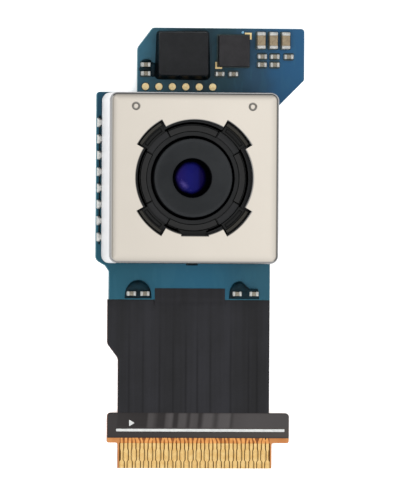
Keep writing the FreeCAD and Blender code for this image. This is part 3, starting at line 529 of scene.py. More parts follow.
def band_film():
    """Cover over the contact end: greyer to the right, with dark gaps between soft upright stripes that are
    painted light and shade of its relief over the tracks.

    Each pair gives a place across the band and how light the film is painted there, from black to pale grey.
    """
    made = Finish("band_film", roughness=0.42, specular=0.25)
    low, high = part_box("contact_cover")
    across, upward = (made.along(index, low[index], high[index]) for index in (0, 1))
    # Painted light and shade: pale stripes over the tracks and dark gaps between them.
    stripes = (
        (0.0, 47), (0.05, 47), (0.06, 40), (0.215, 35), (0.228, 62), (0.246, 62), (0.279, 36), (0.312, 35),
        (0.323, 60), (0.345, 70), (0.355, 66), (0.366, 35), (0.383, 35), (0.396, 65), (0.427, 66),
        (0.443, 41), (0.449, 41), (0.462, 65), (0.493, 60), (0.504, 36), (0.515, 39), (0.533, 70),
        (0.57, 70), (0.592, 50), (0.60, 50), (0.619, 70), (0.669, 72), (0.682, 46), (0.70, 61), (0.78, 66),
        (1.0, 64),
    )
    slant = made.times(made.minus(upward, 0.7), -0.013)
    above = made.ramp(made.plus(across, slant), [
        (place, (light + 2, light - 1, light - 1)) for place, light in stripes
    ])
    below = made.ramp(across, [(0.0, (48, 44, 44)), (0.3, (52, 48, 47)), (1.0, (68, 63, 60))])
    face = made.mix(made.rise(upward, 0.32, 0.46), below, above)
    ends = made.ramp(upward, [(0.0, WHITE), (0.08, BLACK), (0.94, BLACK), (1.0, WHITE)])
    made.set("Base Color", made.mix(made.times(ends, 0.55), face, (36, 32, 32)))
    made.tooth(0.04, 0.0012)
    return made.material


def ring_moulding():
    """Black moulding with painted shade that darkens its hollows and painted light on its highest rims, from
    its height and a soft cloud.
    """
    made = Finish("ring_moulding", roughness=0.40)
    low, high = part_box("stopper_ring")
    height = made.along(2, low[2] + 0.10 * MM, high[2])
    # Painted shade and light: lower parts are painted darker, down to black in the gaps, and the highest
    # rims get a pale highlight.
    made.set("Base Color", made.ramp(made.plus(height, made.waver(0.7, 0.10)), [
        (0.0, (2, 2, 2)), (0.13, (4, 4, 4)), (0.19, (27, 28, 29)), (0.27, (33, 33, 33)),
        (0.36, (29, 30, 32)), (0.50, (12, 13, 13)), (0.74, (10, 11, 11)), (0.95, (44, 42, 37)),
    ]))
    # Painted shade: the hollows lose their sheen.
    made.set("Specular IOR Level", made.ramp(height, [(0.12, BLACK), (0.20, (0.3, 0.3, 0.3, 1.0))]))
    made.tooth(0.05, 0.0015)
    return made.material


def nose_moulding(settings):
    """Black moulding of the barrel, with painted shade that makes the nose's outer wall and the inside of
    the aperture darkest.
    """
    made = Finish("nose_black", roughness=0.55)
    away = made.from_axis()
    aperture = settings.aperture_radius
    nose = settings.nose_radius
    # Painted shade: outside this band, on the nose's outer wall and inside the aperture, the moulding is
    # painted near black and loses its sheen.
    unshaded_face = made.times(
        made.rise(away, aperture + 0.02 * MM, aperture + 0.06 * MM),
        made.fall(away, nose - 0.01 * MM, nose + 0.01 * MM),
    )
    face = made.patches(0.8, (37, 39, 41), (40, 42, 44), 0.35, 0.65)
    made.set("Base Color", made.mix(unshaded_face, (2, 2, 3), face))
    made.set("Specular IOR Level", made.times(unshaded_face, 0.22))
    made.tooth(0.035, 0.002)
    return made.material


def front_glass(settings):
    """Coated front lens: blue with painted light that turns dark violet to the right, a soft black ring of
    painted shade, and a pale streak and a few specks of painted highlight.
    """
    made = Finish("front_glass", roughness=0.08, specular=0.06)
    radius = settings.glass_radius
    share = made.plus(made.maths("DIVIDE", made.from_axis(), radius), made.waver(0.6, 0.22))
    # Painted light: the coating's blue falls off to dark violet from left to right.
    tint = made.ramp(made.along(0, -radius, radius), [
        (0.12, (30, 22, 86)), (0.45, (*settings.glass_colour, 1.0)), (0.66, (17, 17, 84)),
        (0.80, (10, 4, 54)), (0.95, (6, 3, 42)),
    ], smooth=True)
    total = made.plus(made.at(0), made.at(1))
    off = made.unsigned(made.plus(total, 0.83 * MM))
    end = made.unsigned(made.plus(made.minus(made.at(0), made.at(1)), 0.03 * MM))
    # Painted highlight: a pale streak of reflection across the lower left.
    streak = made.times(
        made.spread(off, 0.40, 0.0, 0.02 * MM, 0.24 * MM), made.fall(end, 0.12 * MM, 0.50 * MM)
    )
    tint = made.mix(streak, tint, (96, 84, 156))
    # Painted shade: the blue fades into a soft black ring at the lens's edge.
    face = made.mix(made.mask(share, 0.70, 0.96, smooth=True), tint, (3, 3, 5))
    # Painted highlight: a few pale specks of reflection at the lower left.
    specks = made.rise(made.noise(0.07, detail=2.0), 0.60, 0.70)
    lower_left = made.fall(total, -0.95 * MM, -0.4 * MM)
    near = made.times(specks, made.times(lower_left, made.fall(share, 0.6, 0.8)))
    made.set("Base Color", made.mix(made.times(near, 0.6), face, (96, 84, 150)))
    return made.material


def gold(name="contact_gold", first=(255, 218, 148), second=(242, 198, 124)):
    """Plated gold in two close tones."""
    return two_tone(name, first, second, 0.35, roughness=(0.30, 0.42), metallic=0.75, bump_mm=0.0008)


def solder_finish():
    """Tinned metal and solder: grey, with a fine uneven relief."""
    return two_tone("tin_solder", (224, 224, 220), (188, 190, 188), 0.16, roughness=(0.26, 0.46),
                    metallic=0.7, bump_mm=0.006, bump_size_mm=0.09)


def amber_film():
    """Amber polyimide with a darker cut edge."""
    made = Finish("amber_film", roughness=0.38, specular=0.4)
    face = made.patches(0.6, (196, 134, 80), (180, 114, 60))
    made.set("Base Color", made.mix(made.mask(made.facing_up(), 0.4, 0.8), (176, 92, 30), face))
    return made.material


def winding():
    """Enamelled copper: turns lie side by side, so the relief runs in fine rings."""
    made = Finish("copper_winding", metallic=0.9)
    turns = made.node("ShaderNodeTexWave", {
        "Vector": made.place, "Scale": 5200.0, "Distortion": 0.6,
    }, bands_direction="Z").outputs["Fac"]
    made.set("Base Color", made.ramp(turns, [(0.2, (120, 62, 32)), (0.7, (196, 116, 66))]))
    made.set("Roughness", made.spread(turns, 0.28, 0.4))
    made.bump(turns, 0.008)
    return made.material


def clear_glass(name, first, second, size_mm, share, index):
    """Glass that lets a share of the light through, in two close tints."""
    made = Finish(name, roughness=0.05)
    made.set("Base Color", made.patches(size_mm, first, second))
    made.set("Transmission Weight", share)
    made.set("IOR", index)
    return made.material


# Shapes that are more than a plate

def square_ray(turn, half_x, half_y, radius):
    """Where a ray from the axis leaves a rounded rectangle, and the outward normal there."""
    way = directions(turn)
    size = np.maximum(np.abs(way), 1e-9)
    reach = np.minimum(half_x / size[:, 0], half_y / size[:, 1])
    point = way * reach[:, None]
    centre = np.sign(way) * np.array([half_x - radius, half_y - radius])
    along = np.sum(way * centre, -1)
    root = along ** 2 - np.sum(centre ** 2, -1) + radius ** 2
    arc = way * (along + np.sqrt(np.maximum(root, 0)))[:, None]
    in_corner = np.all(np.abs(point) > np.abs(centre), -1)[:, None]
    on_side = (np.abs(point[:, 0]) >= half_x - 1e-6)[:, None]
    flat = np.where(on_side, np.sign(way) * [1, 0], np.sign(way) * [0, 1])
    point = np.where(in_corner, arc, point)
    normal = np.where(in_corner, unit(arc - centre + 1e-12), flat)
    return point, normal


def fold(turn):
    """The angle from the nearest diagonal, in degrees."""
    return (np.degrees(turn) % 90) - 45


def opening_rays(settings, dimples):
    """Angles of the can's rays, closer at corners, dimples and notches, and the opening's radius there.

    The opening is a circle flattened by flattening * sin^2, with four notches and a flat recess below.
    """
    opening = settings.opening_radius / MM
    notch_half = math.degrees(settings.notch_half_angle)
    recess = np.array(settings.recess_sides) / MM
    recess_low = settings.recess_depth / MM
    recess_turn = np.degrees(np.arctan2(-recess_low, recess)) % 360
    beside_recess = 0.10
    sliver = 0.07
    near_edge = np.array([-sliver, 0.0])
    close_to = 3.6
    degrees = [np.arange(0, 360, 1.5)]
    for middle in (45, 135, 225, 315):
        degrees.append(middle + np.linspace(-close_to, close_to, 25))
        degrees.append(middle + notch_half + near_edge)
        degrees.append(middle - notch_half - near_edge)
    for x, y in dimples:
        degrees.append(math.degrees(math.atan2(y, x)) + np.linspace(-close_to, close_to, 31))
    for side in recess_turn:
        degrees.append(side + near_edge)
    angle = np.unique(np.round(np.concatenate(degrees) % 360, 4))
    turn = np.radians(angle)
    circle = opening - settings.opening_flattening / MM * np.sin(turn) ** 2
    recess_start, recess_end = recess_turn - sliver / 2
    circle = np.where((angle > 240) & (angle < recess_start), opening - beside_recess, circle)
    in_recess = (angle > recess_start) & (angle < recess_end)
    circle = np.where(in_recess, recess_low / np.maximum(np.abs(np.sin(turn)), 0.1), circle)
    in_notch = np.abs(fold(turn)) < notch_half - sliver / 2
    return turn, np.where(in_notch, settings.notch_radius / MM, circle)[:, None]


def can_patch(settings):
    """The can: rays from the axis carry one closed section, outer wall, bend, face, opening, inside.

    The face falls by slope / (2 reach) * (reach - d)^2 where it comes within reach of the bend, and by
    depth * sin^2 across the round groove of each dimple. The bend's arc starts where that slope ends.
    """
    low, high = extent("shield_can")
    half_sides = high[:2]
    top = high[2]
    wall = settings.can_wall / MM
    bend = settings.can_bend / MM
    corner = settings.can_corner / MM
    edge = settings.opening_edge / MM
    slope = settings.can_edge_slope
    reach = settings.can_edge_reach / MM
    first = math.atan(slope)
    bend_inset = bend * (1 - math.sin(first))
    bend_centre = top - slope * reach / 2 - bend * math.cos(first)
    dimples = [(side * settings.dimple_x / MM + settings.dimple_shift / MM, settings.dimple_y / MM)
               for side in (-1, 1)]
    turn, inner_radius = opening_rays(settings, dimples)
    way = directions(turn)
    rim, normal = square_ray(turn, *half_sides, corner)

    def on_face(flat):
        """The face's height over each point (x, y), by the two falls that are named above."""
        beyond = np.abs(flat) - (half_sides - corner)
        outside = np.linalg.norm(np.maximum(beyond, 0), axis=-1) + np.minimum(beyond.max(-1), 0)
        near = np.clip(reach - (corner - bend_inset - outside), 0, reach)
        height = top - slope / (2 * reach) * near ** 2
        for centre in dimples:
            off = np.linalg.norm(flat - centre, axis=-1) - settings.dimple_radius / MM
            share = np.clip(1 - np.abs(off) / (settings.dimple_width / MM), 0, 1)
            height -= settings.dimple_depth / MM * np.sin(share * np.pi / 2) ** 2
        return raised(flat, height)

    rows = [raised(rim, level) for level in np.linspace(low[2], bend_centre, 4)]
    for tilt in np.linspace(0, np.pi / 2 - first, 12)[1:]:
        rows.append(raised(rim - normal * bend * (1 - np.cos(tilt)), bend_centre + bend * np.sin(tilt)))
    outer_face = rim - normal * bend_inset
    inner_face = way * (inner_radius + edge)
    past_notches = 0.12
    circle_face = way * (settings.notch_radius / MM + edge + past_notches)
    shares = [np.linspace(1, 0.80, 12)[1:], np.linspace(0.78, 0.38, 30), np.linspace(0.36, 0, 6)]
    for share in np.concatenate(shares):
        rows.append(on_face(circle_face + (outer_face - circle_face) * share))
    for share in (0.6, 0.2, 0.03, 0):
        rows.append(on_face(inner_face + (circle_face - inner_face) * share))
    level = rows[-1][:, 2]
    for tilt in np.linspace(0, np.pi / 2, 5)[1:]:
        flat = way * (inner_radius + edge * (1 - np.sin(tilt)))
        rows.append(raised(flat, level - edge * (1 - np.cos(tilt))))
    ceiling = top - wall
    opening = way * inner_radius
    inside_bend = max(bend - wall, 0.05)
    inner_rim = rim - normal * (wall + inside_bend)
    for share in np.linspace(0, 1, 4):
        rows.append(raised(opening + (inner_rim - opening) * share, ceiling))
    for tilt in np.linspace(0, np.pi / 2, 4)[1:]:
        inset = wall + inside_bend * (1 - np.sin(tilt))
        rows.append(raised(rim - normal * inset, ceiling - inside_bend * (1 - np.cos(tilt))))
    rows.append(raised(rim - normal * wall, low[2]))
    return grid(np.stack(rows), wrap_rows=True)


def stop_ring_height(radius, turn, settings):
    """Height over the bore ring: pads and their cut lines, a gap, a rim, and four ears with a pocket.

    Each form is a rise or a depth times smooth steps over the radius and over the angle, in degrees from
    the nearest axis or diagonal.
    """
    gap_in, gap_out, ear_in = 3.275, 3.40, 3.28
    pad_in = settings.pad_inner / MM
    pad_out = settings.pad_outer / MM
    pad_half = math.degrees(settings.pad_half_angle)
    ear_half = math.degrees(settings.notch_half_angle) - EAR_PLAY_DEGREES
    off_diagonal = np.abs(fold(turn))
    off_axis = 45 - off_diagonal
    rim_rise, pad_rise, ear_rise, lip_rise = 0.09, 0.05, 0.33, 0.17
    line_depth, end_depth, gap_depth, pocket_depth = 0.08, 0.13, 0.16, 0.08
    rim = smooth_step(gap_out - 0.01, gap_out + 0.01, radius)
    pad = smooth_step(pad_half + 0.3, pad_half - 0.3, off_axis) * window(pad_in, pad_out, 0.012, radius)
    bridge = smooth_step(pad_half + 0.9, pad_half + 1.5, off_axis)
    bridge = bridge * smooth_step(pad_in, pad_in + 0.05, radius)
    height = np.maximum(np.maximum(rim_rise * rim, pad_rise * pad), rim_rise * bridge)
    off_line = np.minimum(np.abs(radius - pad_in), np.abs(radius - pad_out))
    ring_lines = smooth_step(0.022, 0, off_line) * smooth_step(pad_half + 1.0, pad_half, off_axis)
    end_line = smooth_step(pad_in - 0.03, pad_in, radius) * smooth_step(ear_in, ear_in - 0.02, radius)
    end_line = smooth_step(0.45, 0.1, np.abs(off_axis - pad_half)) * end_line
    height = height - np.maximum(line_depth * ring_lines, end_depth * end_line)
    gap = window(gap_in, gap_out, 0.01, radius)
    height = height * (1 - gap) - gap_depth * gap
    ear_side = smooth_step(ear_half, ear_half - 0.5, off_diagonal)
    ear = ear_side * smooth_step(ear_in - 0.02, ear_in + 0.02, radius)
    pocket = smooth_step(3.40, 3.44, radius) * smooth_step(3.66, 3.60, radius)
    pocket = smooth_step(11.0, 10.2, off_diagonal) * pocket
    ear_height = ear_rise + lip_rise * smooth_step(3.70, 3.76, radius) - pocket_depth * pocket
    return np.where(ear > 0, np.maximum(height, ear_height * ear + height * (1 - ear)), height)


def stop_ring_patches(settings):
    """The stop ring as a height field on rays and circles, its square plate, tab and corner bumpers."""
    low, high = extent("stopper_ring")
    bore = settings.ring_bore / MM
    base = low[2]
    level = base + settings.ring_thickness / MM
    plate_top = level + 0.20
    half_x, half_y = high[:2]
    ear_out = 3.92
    radii = [bore, bore + 0.012, bore + 0.03, *np.linspace(bore + 0.06, 2.80, 4)]
    for middle in (2.84, 3.22, 3.275, 3.40, 3.72):
        radii += list(middle + np.linspace(-0.036, 0.036, 9))
    radii += [2.92, 3.0, 3.08, 3.15, 3.28, 3.40, 3.42, 3.44, 3.58, 3.60, 3.62, 3.64, 3.66]
    radii += [3.80, 3.86, 3.895]
    radii = np.unique(np.round([*radii, ear_out], 4))
    pad_half = math.degrees(settings.pad_half_angle)
    ear_half = math.degrees(settings.notch_half_angle) - EAR_PLAY_DEGREES
    pocket_half = 10.6
    degrees = [np.arange(0, 360, 2.0)]
    for quarter in (0, 90, 180, 270):
        for middle, half, close_to, count in (
            (0, pad_half, 1.6, 13), (45, ear_half, 0.8, 7), (45, pocket_half, 0.5, 5),
        ):
            for side in (middle - half, middle + half):
                degrees.append(quarter + side + np.linspace(-close_to, close_to, count))
    turn = np.radians(np.unique(np.round(np.concatenate(degrees) % 360, 3)))
    way = directions(turn)
    radius, angle = np.meshgrid(radii, turn, indexing="ij")
    height = level + stop_ring_height(radius, angle, settings)
    height[0] = level - 0.03
    height[1] = level - 0.009
    flat = radius[..., None] * way
    on_tab = (np.abs(flat[..., 0]) < settings.tab_width / MM / 2) & (flat[..., 1] < 0) & (radius > 3.24)
    rim, normal = square_ray(turn, half_x, half_y, 0.3)
    edge = 0.03
    rows = [
        *raised(flat, np.where(on_tab, plate_top, height)), raised(way * (ear_out + 0.02), plate_top),
        raised(rim - normal * edge, plate_top), raised(rim, plate_top - edge), raised(rim, base),
        raised(way * bore, base),
    ]
    patches = [grid(np.stack(rows), wrap_rows=True)]
    size = settings.bumper_size / MM
    bumper_top = extent("shield_can")[1][2] - (settings.can_wall + settings.focus_room) / MM
    for sx in (-1, 1):
        for sy in (-1, 1):
            x0, x1 = sorted((sx * (half_x - 0.04), sx * (half_x - size)))
            y0, y1 = sorted((sy * (half_y - 0.04), sy * (half_y - size)))
            patches.append(plate(rectangle(x0, x1, y0, y1, 0.08), plate_top - 0.1, bumper_top, 0, 0.05))
    return patches


def nose_profile(settings):
    """Section of the barrel from the bore of the lens seats, out and up to the nose, and down its cone."""
    low, high = extent("lens_barrel")
    radius = high[0]
    top = high[2]
    nose = settings.nose_radius / MM
    aperture = settings.aperture_radius / MM
    mouth = settings.aperture_height / MM
    shoulder = settings.nose_shoulder / MM
    seat = extent("lens_element_1")[1][2] - FRONT_SAG
    foot_bevel = 0.10
    shoulder_bevel = 0.03
    nose_round = 0.06
    turn = np.linspace(0, np.pi / 2, 6)
    nose_edge = [nose, top] - nose_round * np.stack([1 - np.cos(turn), 1 - np.sin(turn)], -1)
    lip = nose - 0.20
    cone = np.array([0.25, 0.5, 0.75])[:, None] * [aperture - lip, mouth - top] + [lip, top]
    slope = math.atan2(top - mouth, lip - aperture)
    mouth_round = 0.16
    sweep = np.linspace(0, np.pi / 2 + slope, 9) * 0.98
    centre = np.array([aperture + mouth_round, mouth - mouth_round * 0.55])
    seats = [(1.58, seat), (1.58, 3.08), (1.90, 2.75), (2.26, 2.20), (2.26, low[2])]
    return np.concatenate([
        [(radius - foot_bevel, low[2]), (radius, low[2] + foot_bevel)],
        [(radius, shoulder - shoulder_bevel), (radius - shoulder_bevel, shoulder)],
        [(nose + 0.02, shoulder), (nose, shoulder + 0.02)], nose_edge,
        [(lip + 0.02, top), (lip - 0.02, top - 0.012)], cone,
        centre + mouth_round * directions(slope + np.pi / 2 + sweep), [(aperture, seat)], seats,
    ])


def lens_profile(seat, edge, radius, clear, sag):
    """Section of the front lens: spherical cap, flat edge ring, and a shallow coned back."""
    near_axis = 0.002
    bevel = 0.03
    ball = (clear ** 2 + sag ** 2) / (2 * sag)
    across = np.linspace(near_axis, clear, 14)
    cap = np.stack([across, seat + sag - ball + np.sqrt(ball ** 2 - across ** 2)], -1)
    return np.concatenate([
        cap, [(radius - bevel, seat), (radius, seat - bevel), (radius, seat - edge), (clear, seat - edge),
              (near_axis, seat - edge + 0.05)],
    ])


def capacitor_patches(x, y, size, end_share, seed):
    """One chip capacitor: a rounded body and two caps that stand a little proud of it, with solder feet."""
    width, depth, height = size
    base = extent("rigid_board")[1][2]
    half_long, half_short = max(width, depth) / 2, min(width, depth) / 2
    inner = half_long * (1 - 2 * end_share)
    proud = 0.012
    edge = 0.035
    random = np.random.default_rng(seed)

    def placed(patch):
        """Turned a quarter where the capacitor lies along Y, and moved to its place."""
        points, faces = patch
        if width <= depth:
            points[:, :2] = np.stack([-points[:, 1], points[:, 0]], -1)
        return points + [x, y, 0], faces

    body = plate(rectangle(-inner, inner, proud - half_short, half_short - proud, 0.01, 3),
                 base, base + height - proud, 0, 0.02, 3)
    ends = []
    for side in (-1, 1):
        foot = side * half_long
        x0, x1 = sorted((side * (inner - 0.006), foot))
        outline = rectangle(x0, x1, -half_short, half_short, edge, 4)
        ends.append(placed(plate(outline, base, base + height, 0, edge, 4)))
        x0, x1 = sorted((foot, foot + side * (0.015 + 0.02 * random.random())))
        outline = rectangle(x0, x1, 0.02 - half_short, half_short - 0.02, 0.02, 4)
        ends.append(placed(dome(outline, np.array([foot, 0.0]), base, height * 0.55, 1.6, steps=5)))
    return placed(body), ends


def contact_patches(settings):
    """Every contact at once: its half width is blended between its stations by smooth steps along it."""
    along = np.concatenate([
        np.linspace(0, 0.18, 4), np.linspace(0.20, 0.36, 9), np.linspace(0.45, 0.55, 3),
        np.linspace(0.58, 0.76, 10), np.linspace(0.82, 1, 4),
    ])
    neck, wide, narrow = (
        value / MM / 2 for value in (settings.contact_neck, settings.contact_wide, settings.contact_narrow)
    )
    first, second = smooth_step(0.20, 0.33, along), smooth_step(0.65, 0.75, along)
    upper = neck + (wide - neck) * first + (narrow - wide) * second
    lower = neck + (narrow - neck) * first + (wide - narrow) * second
    section = np.array([(-1, 0.0), (-1, 0.55), (-0.90, 1.0), (0.90, 1.0), (1, 0.55), (1, 0.0)])
    patches = []
    for index, (low, high) in enumerate(solids_of("contact_fingers")):
        half = lower if index % 2 == 0 else upper
        points = np.empty((len(along), len(section), 3))
        points[..., 0] = (low[0] + high[0]) / 2 + half[:, None] * section[None, :, 0]
        points[..., 1] = (high[1] + (low[1] - high[1]) * along)[:, None]
        points[..., 2] = low[2] + (high[2] - low[2]) * section[None, :, 1]
        patches.append(capped_grid(points))
    return patches


def strip(left, right, along, top, bottom, columns):
    """A thin sheet: columns run from left(y) to right(y), with its top height a function of x and y."""
    share = np.linspace(0, 1, columns)
    x = left[:, None] + (right - left)[:, None] * share
    y = np.broadcast_to(along[:, None], x.shape)
    upper = np.stack([x, y, top(x, y)], -1)
    lower = np.stack([x, y, np.full(x.shape, float(bottom))], -1)[:, ::-1]
    return capped_grid(np.concatenate([upper, lower], 1))


# Settings that a user would change

def length(name, description, default_mm):
    """A size that is given in millimetres and kept in metres."""
    return bpy.props.FloatProperty(
        name=name, description=description, default=default_mm * MM, min=0.0, precision=6, unit="LENGTH"
    )


def turn_setting(name, description, degrees):
    """An angle that is given in degrees and kept in radians."""
    return bpy.props.FloatProperty(
        name=name, description=description, default=math.radians(degrees), subtype="ANGLE"
    )


def colour(name, description, default):
    """A colour setting, from the first three of four linear values."""
    return bpy.props.FloatVectorProperty(
        name=name, description=description, default=default[:3], subtype="COLOR", size=3, min=0.0, max=1.0
    )


class CameraModuleSettings(bpy.types.PropertyGroup):
    """Sizes and colours of the camera module's surfaces."""

    can_wall: length("Can wall", "Thickness of the can's sheet", 0.15)
    can_bend: length("Can bend", "Outer radius of the bend between face and walls", 0.25)
    can_corner: length("Can corner", "Radius of the can's upright corners", 0.50)
    can_edge_slope: bpy.props.FloatProperty(
        name="Edge slope", description="Slope of the face where it meets the bend", default=0.16, min=0.0
    )
    can_edge_reach: length("Edge reach", "Width of the sloping border of the face", 0.40)
    opening_radius: length("Opening", "Radius of the lens opening", 3.57)
    opening_flattening: length("Opening flattening", "How much less it reaches along the module", 0.05)
    recess_depth: length("Recess depth", "From the axis to the flat at the opening's lower side", 3.49)
    recess_sides: bpy.props.FloatVectorProperty(
        name="Recess sides", description="Left and right side of that flat", size=2,
        default=(-0.80 * MM, 0.90 * MM), precision=6, unit="LENGTH"
    )
    opening_edge: length("Opening edge", "Rounding of the opening's cut edge", 0.09)
    notch_radius: length("Notch", "Radius to the bottom of the four notches", 4.02)
    notch_half_angle: turn_setting("Notch angle", "Half the angle that a notch takes up", 15.5)
    dimple_x: length("Dimple X", "Half the distance between the dimples", 3.58)
    dimple_shift: bpy.props.FloatProperty(
        name="Dimple shift", description="Where the middle between the dimples lies", default=-0.03 * MM,
        precision=6, unit="LENGTH"
    )
    dimple_y: length("Dimple Y", "Distance of the dimples from the axis along the module", 4.35)
    dimple_radius: length("Dimple radius", "Radius of the round groove", 0.195)
    dimple_width: length("Dimple groove", "Half the width of the groove", 0.070)
    dimple_depth: length("Dimple depth", "Depth of the groove", 0.03)
    can_colour: colour("Can", "Colour of the sheet metal", srgb(235, 227, 215))
    board_colour: colour("Board", "Colour of the lacquer", srgb(33, 80, 116))
    glass_radius: length("Glass radius", "Radius over which the lens colour fades", 1.06)
    glass_colour: colour("Glass", "Colour in the middle of the lens", srgb(18, 19, 90))
    ring_bore: length("Stop ring bore", "Radius of the ring round the nose", 2.56)
    ring_thickness: length("Stop ring", "Thickness of the bore ring", 0.22)
    pad_inner: length("Pad inner", "Inner radius of the four pads", 2.84)
    pad_outer: length("Pad outer", "Outer radius of the four pads", 3.22)
    pad_half_angle: turn_setting("Pad angle", "Half the angle that a pad takes up", 29.0)
    tab_width: length("Tab width", "Width of the tab at the ring's lower side", 1.85)
    bumper_size: length("Bumper", "Side of the corner bumpers", 0.70)
    focus_room: length("Focus room", "Space between the corner bumpers and the can's sheet", 0.34)
    nose_radius: length("Nose", "Radius of the barrel's nose", 2.40)
    nose_shoulder: length("Nose shoulder", "Height of the shoulder behind the nose", 3.92)
    aperture_radius: length("Aperture", "Radius of the round aperture", 1.17)
    aperture_height: length("Aperture height", "Height of the aperture's edge", 4.00)
    contact_neck: length("Contact neck", "Width of a contact where it leaves the cover", 0.185)
    contact_wide: length("Contact wide", "Width of a contact at its pad", 0.285)
    contact_narrow: length("Contact narrow", "Width of a contact beside its neighbour's pad", 0.12)
    small_flaw_seed: bpy.props.IntProperty(name="Seed", description="Seed of the uneven edges", default=7)


class MODULE_OT_can(bpy.types.Operator):
    """Makes the drawn sheet can with its notched opening and dimples"""

    bl_idname = "camera_module.can"
    bl_label = "Can"

    def execute(self, context):
        settings = context.scene.camera_module
        add_piece("can_shell", [can_patch(settings)], can_metal(settings),
                  stands_for=["shield_can"], sharp_degrees=40)
        return {"FINISHED"}


class MODULE_OT_stop_ring(bpy.types.Operator):
    """Makes the eared stop ring seen in the opening"""

    bl_idname = "camera_module.stop_ring"
    bl_label = "Stop ring"

    def execute(self, context):
        add_piece("eared_stop_ring", stop_ring_patches(context.scene.camera_module), ring_moulding(),
                  body="focus_stage", stands_for=["stopper_ring"], sharp_degrees=50)
        return {"FINISHED"}


class MODULE_OT_lens(bpy.types.Operator):
    """Makes the barrel's coned nose and the coated front lens"""

    bl_idname = "camera_module.lens"
    bl_label = "Barrel and front lens"

    def execute(self, context):
        settings = context.scene.camera_module
        add_piece("lens_nose", [grid(turned(nose_profile(settings), 160), wrap_rows=True)],
                  nose_moulding(settings), body="lens_stage", stands_for=["lens_barrel"])
        high = extent("lens_element_1")[1]
        seat = high[2] - FRONT_SAG
        profile = lens_profile(seat, edge=0.25, radius=high[0], clear=1.12, sag=FRONT_SAG)
        add_piece("front_lens", [capped_grid(turned(profile, 96))], front_glass(settings),
                  body="lens_stage", stands_for=["lens_element_1"])
        return {"FINISHED"}


class MODULE_OT_board(bpy.types.Operator):
    """Makes the blue board, its test pads, the bare rings round them, dark patches of painted shadow round
    the components, and the pale dot
    """

    bl_idname = "camera_module.board"
    bl_label = "Board"

    dot = (3.54, 8.96, 0.075)
    # Painted shadow: how far the dark patch reaches round each kind of component, along X and along Y.
    shadow_margins = {
        "small_capacitor_bodies": (0.19, 0.09),
        "large_capacitor_bodies": (0.09, 0.31),
        "motion_chip": (0.08, 0.08),
    }

    def execute(self, context):
        low, high = extent("rigid_board")
        top = high[2]
        outline = rounded_outline([
            (-2.00, high[1], 0.20), (-2.94, high[1] - 1.25, 0.40), (-2.94, 5.26, 0), (low[0], 5.26, 0.20),
            (low[0], -5.02, 0.40), (-4.85, -5.36, 0.20), (-4.62, -5.70, 0.20), (-4.62, low[1], 0),
            (5.31, low[1], 0), (5.31, 4.005, 0.20), (high[0], 6.05, 0.20), (high[0], high[1], 0.20),
        ], 7)
        lacquer = solder_mask(context.scene.camera_module)
        add_piece("board", [plate(outline, low[2], top, 0.02, 0.045)], lacquer,
                  stands_for=["rigid_board"])
        pads = []
        openings_and_shadows = []
        ring = directions(np.linspace(0, 2 * np.pi, 40, endpoint=False))
        for pad_low, pad_high in solids_of("test_pads"):
            centre = (pad_low + pad_high)[:2] / 2
            radius = (pad_high - pad_low)[1] / 2
            pads.append(plate(centre + radius * ring, top + 0.001, pad_high[2], 0, 0.012))
            openings_and_shadows.append(centre + 1.22 * radius * ring)
        # Painted shadow: each component stands in a dark patch a margin wider than itself.
        for node, margin in self.shadow_margins.items():
            for corner_low, corner_high in solids_of(node):
                x0, y0 = corner_low[:2] - margin
                x1, y1 = corner_high[:2] + margin
                openings_and_shadows.append(rectangle(x0, x1, y0, y1, 0.08))
        openings_and_shadows = [plate(outline, top - 0.01, top + 0.003, 0, 0.002) for outline in openings_and_shadows]
        x, y, radius = self.dot
        dot = plate([x, y] + radius * ring, top - 0.01, top + 0.004, 0, 0.002)
        dot_ink = two_tone("pale_ink", (136, 186, 214), (110, 164, 196), 0.05)
        pad_gold = two_tone("pad_gold", (255, 236, 182), (255, 220, 160), 0.12, roughness=(0.3, 0.5),
                            metallic=0.5, bump_mm=0.002)
        opening_and_shadow_dark = two_tone("mask_opening_and_painted_shadow", (24, 44, 48), (34, 58, 60), 0.3)
        add_piece("pale_dot", [dot], dot_ink)
        add_piece("gold_test_pads", pads, pad_gold, stands_for=["test_pads"])
        add_piece("pad_openings_and_painted_shadows", openings_and_shadows, opening_and_shadow_dark)
        return {"FINISHED"}


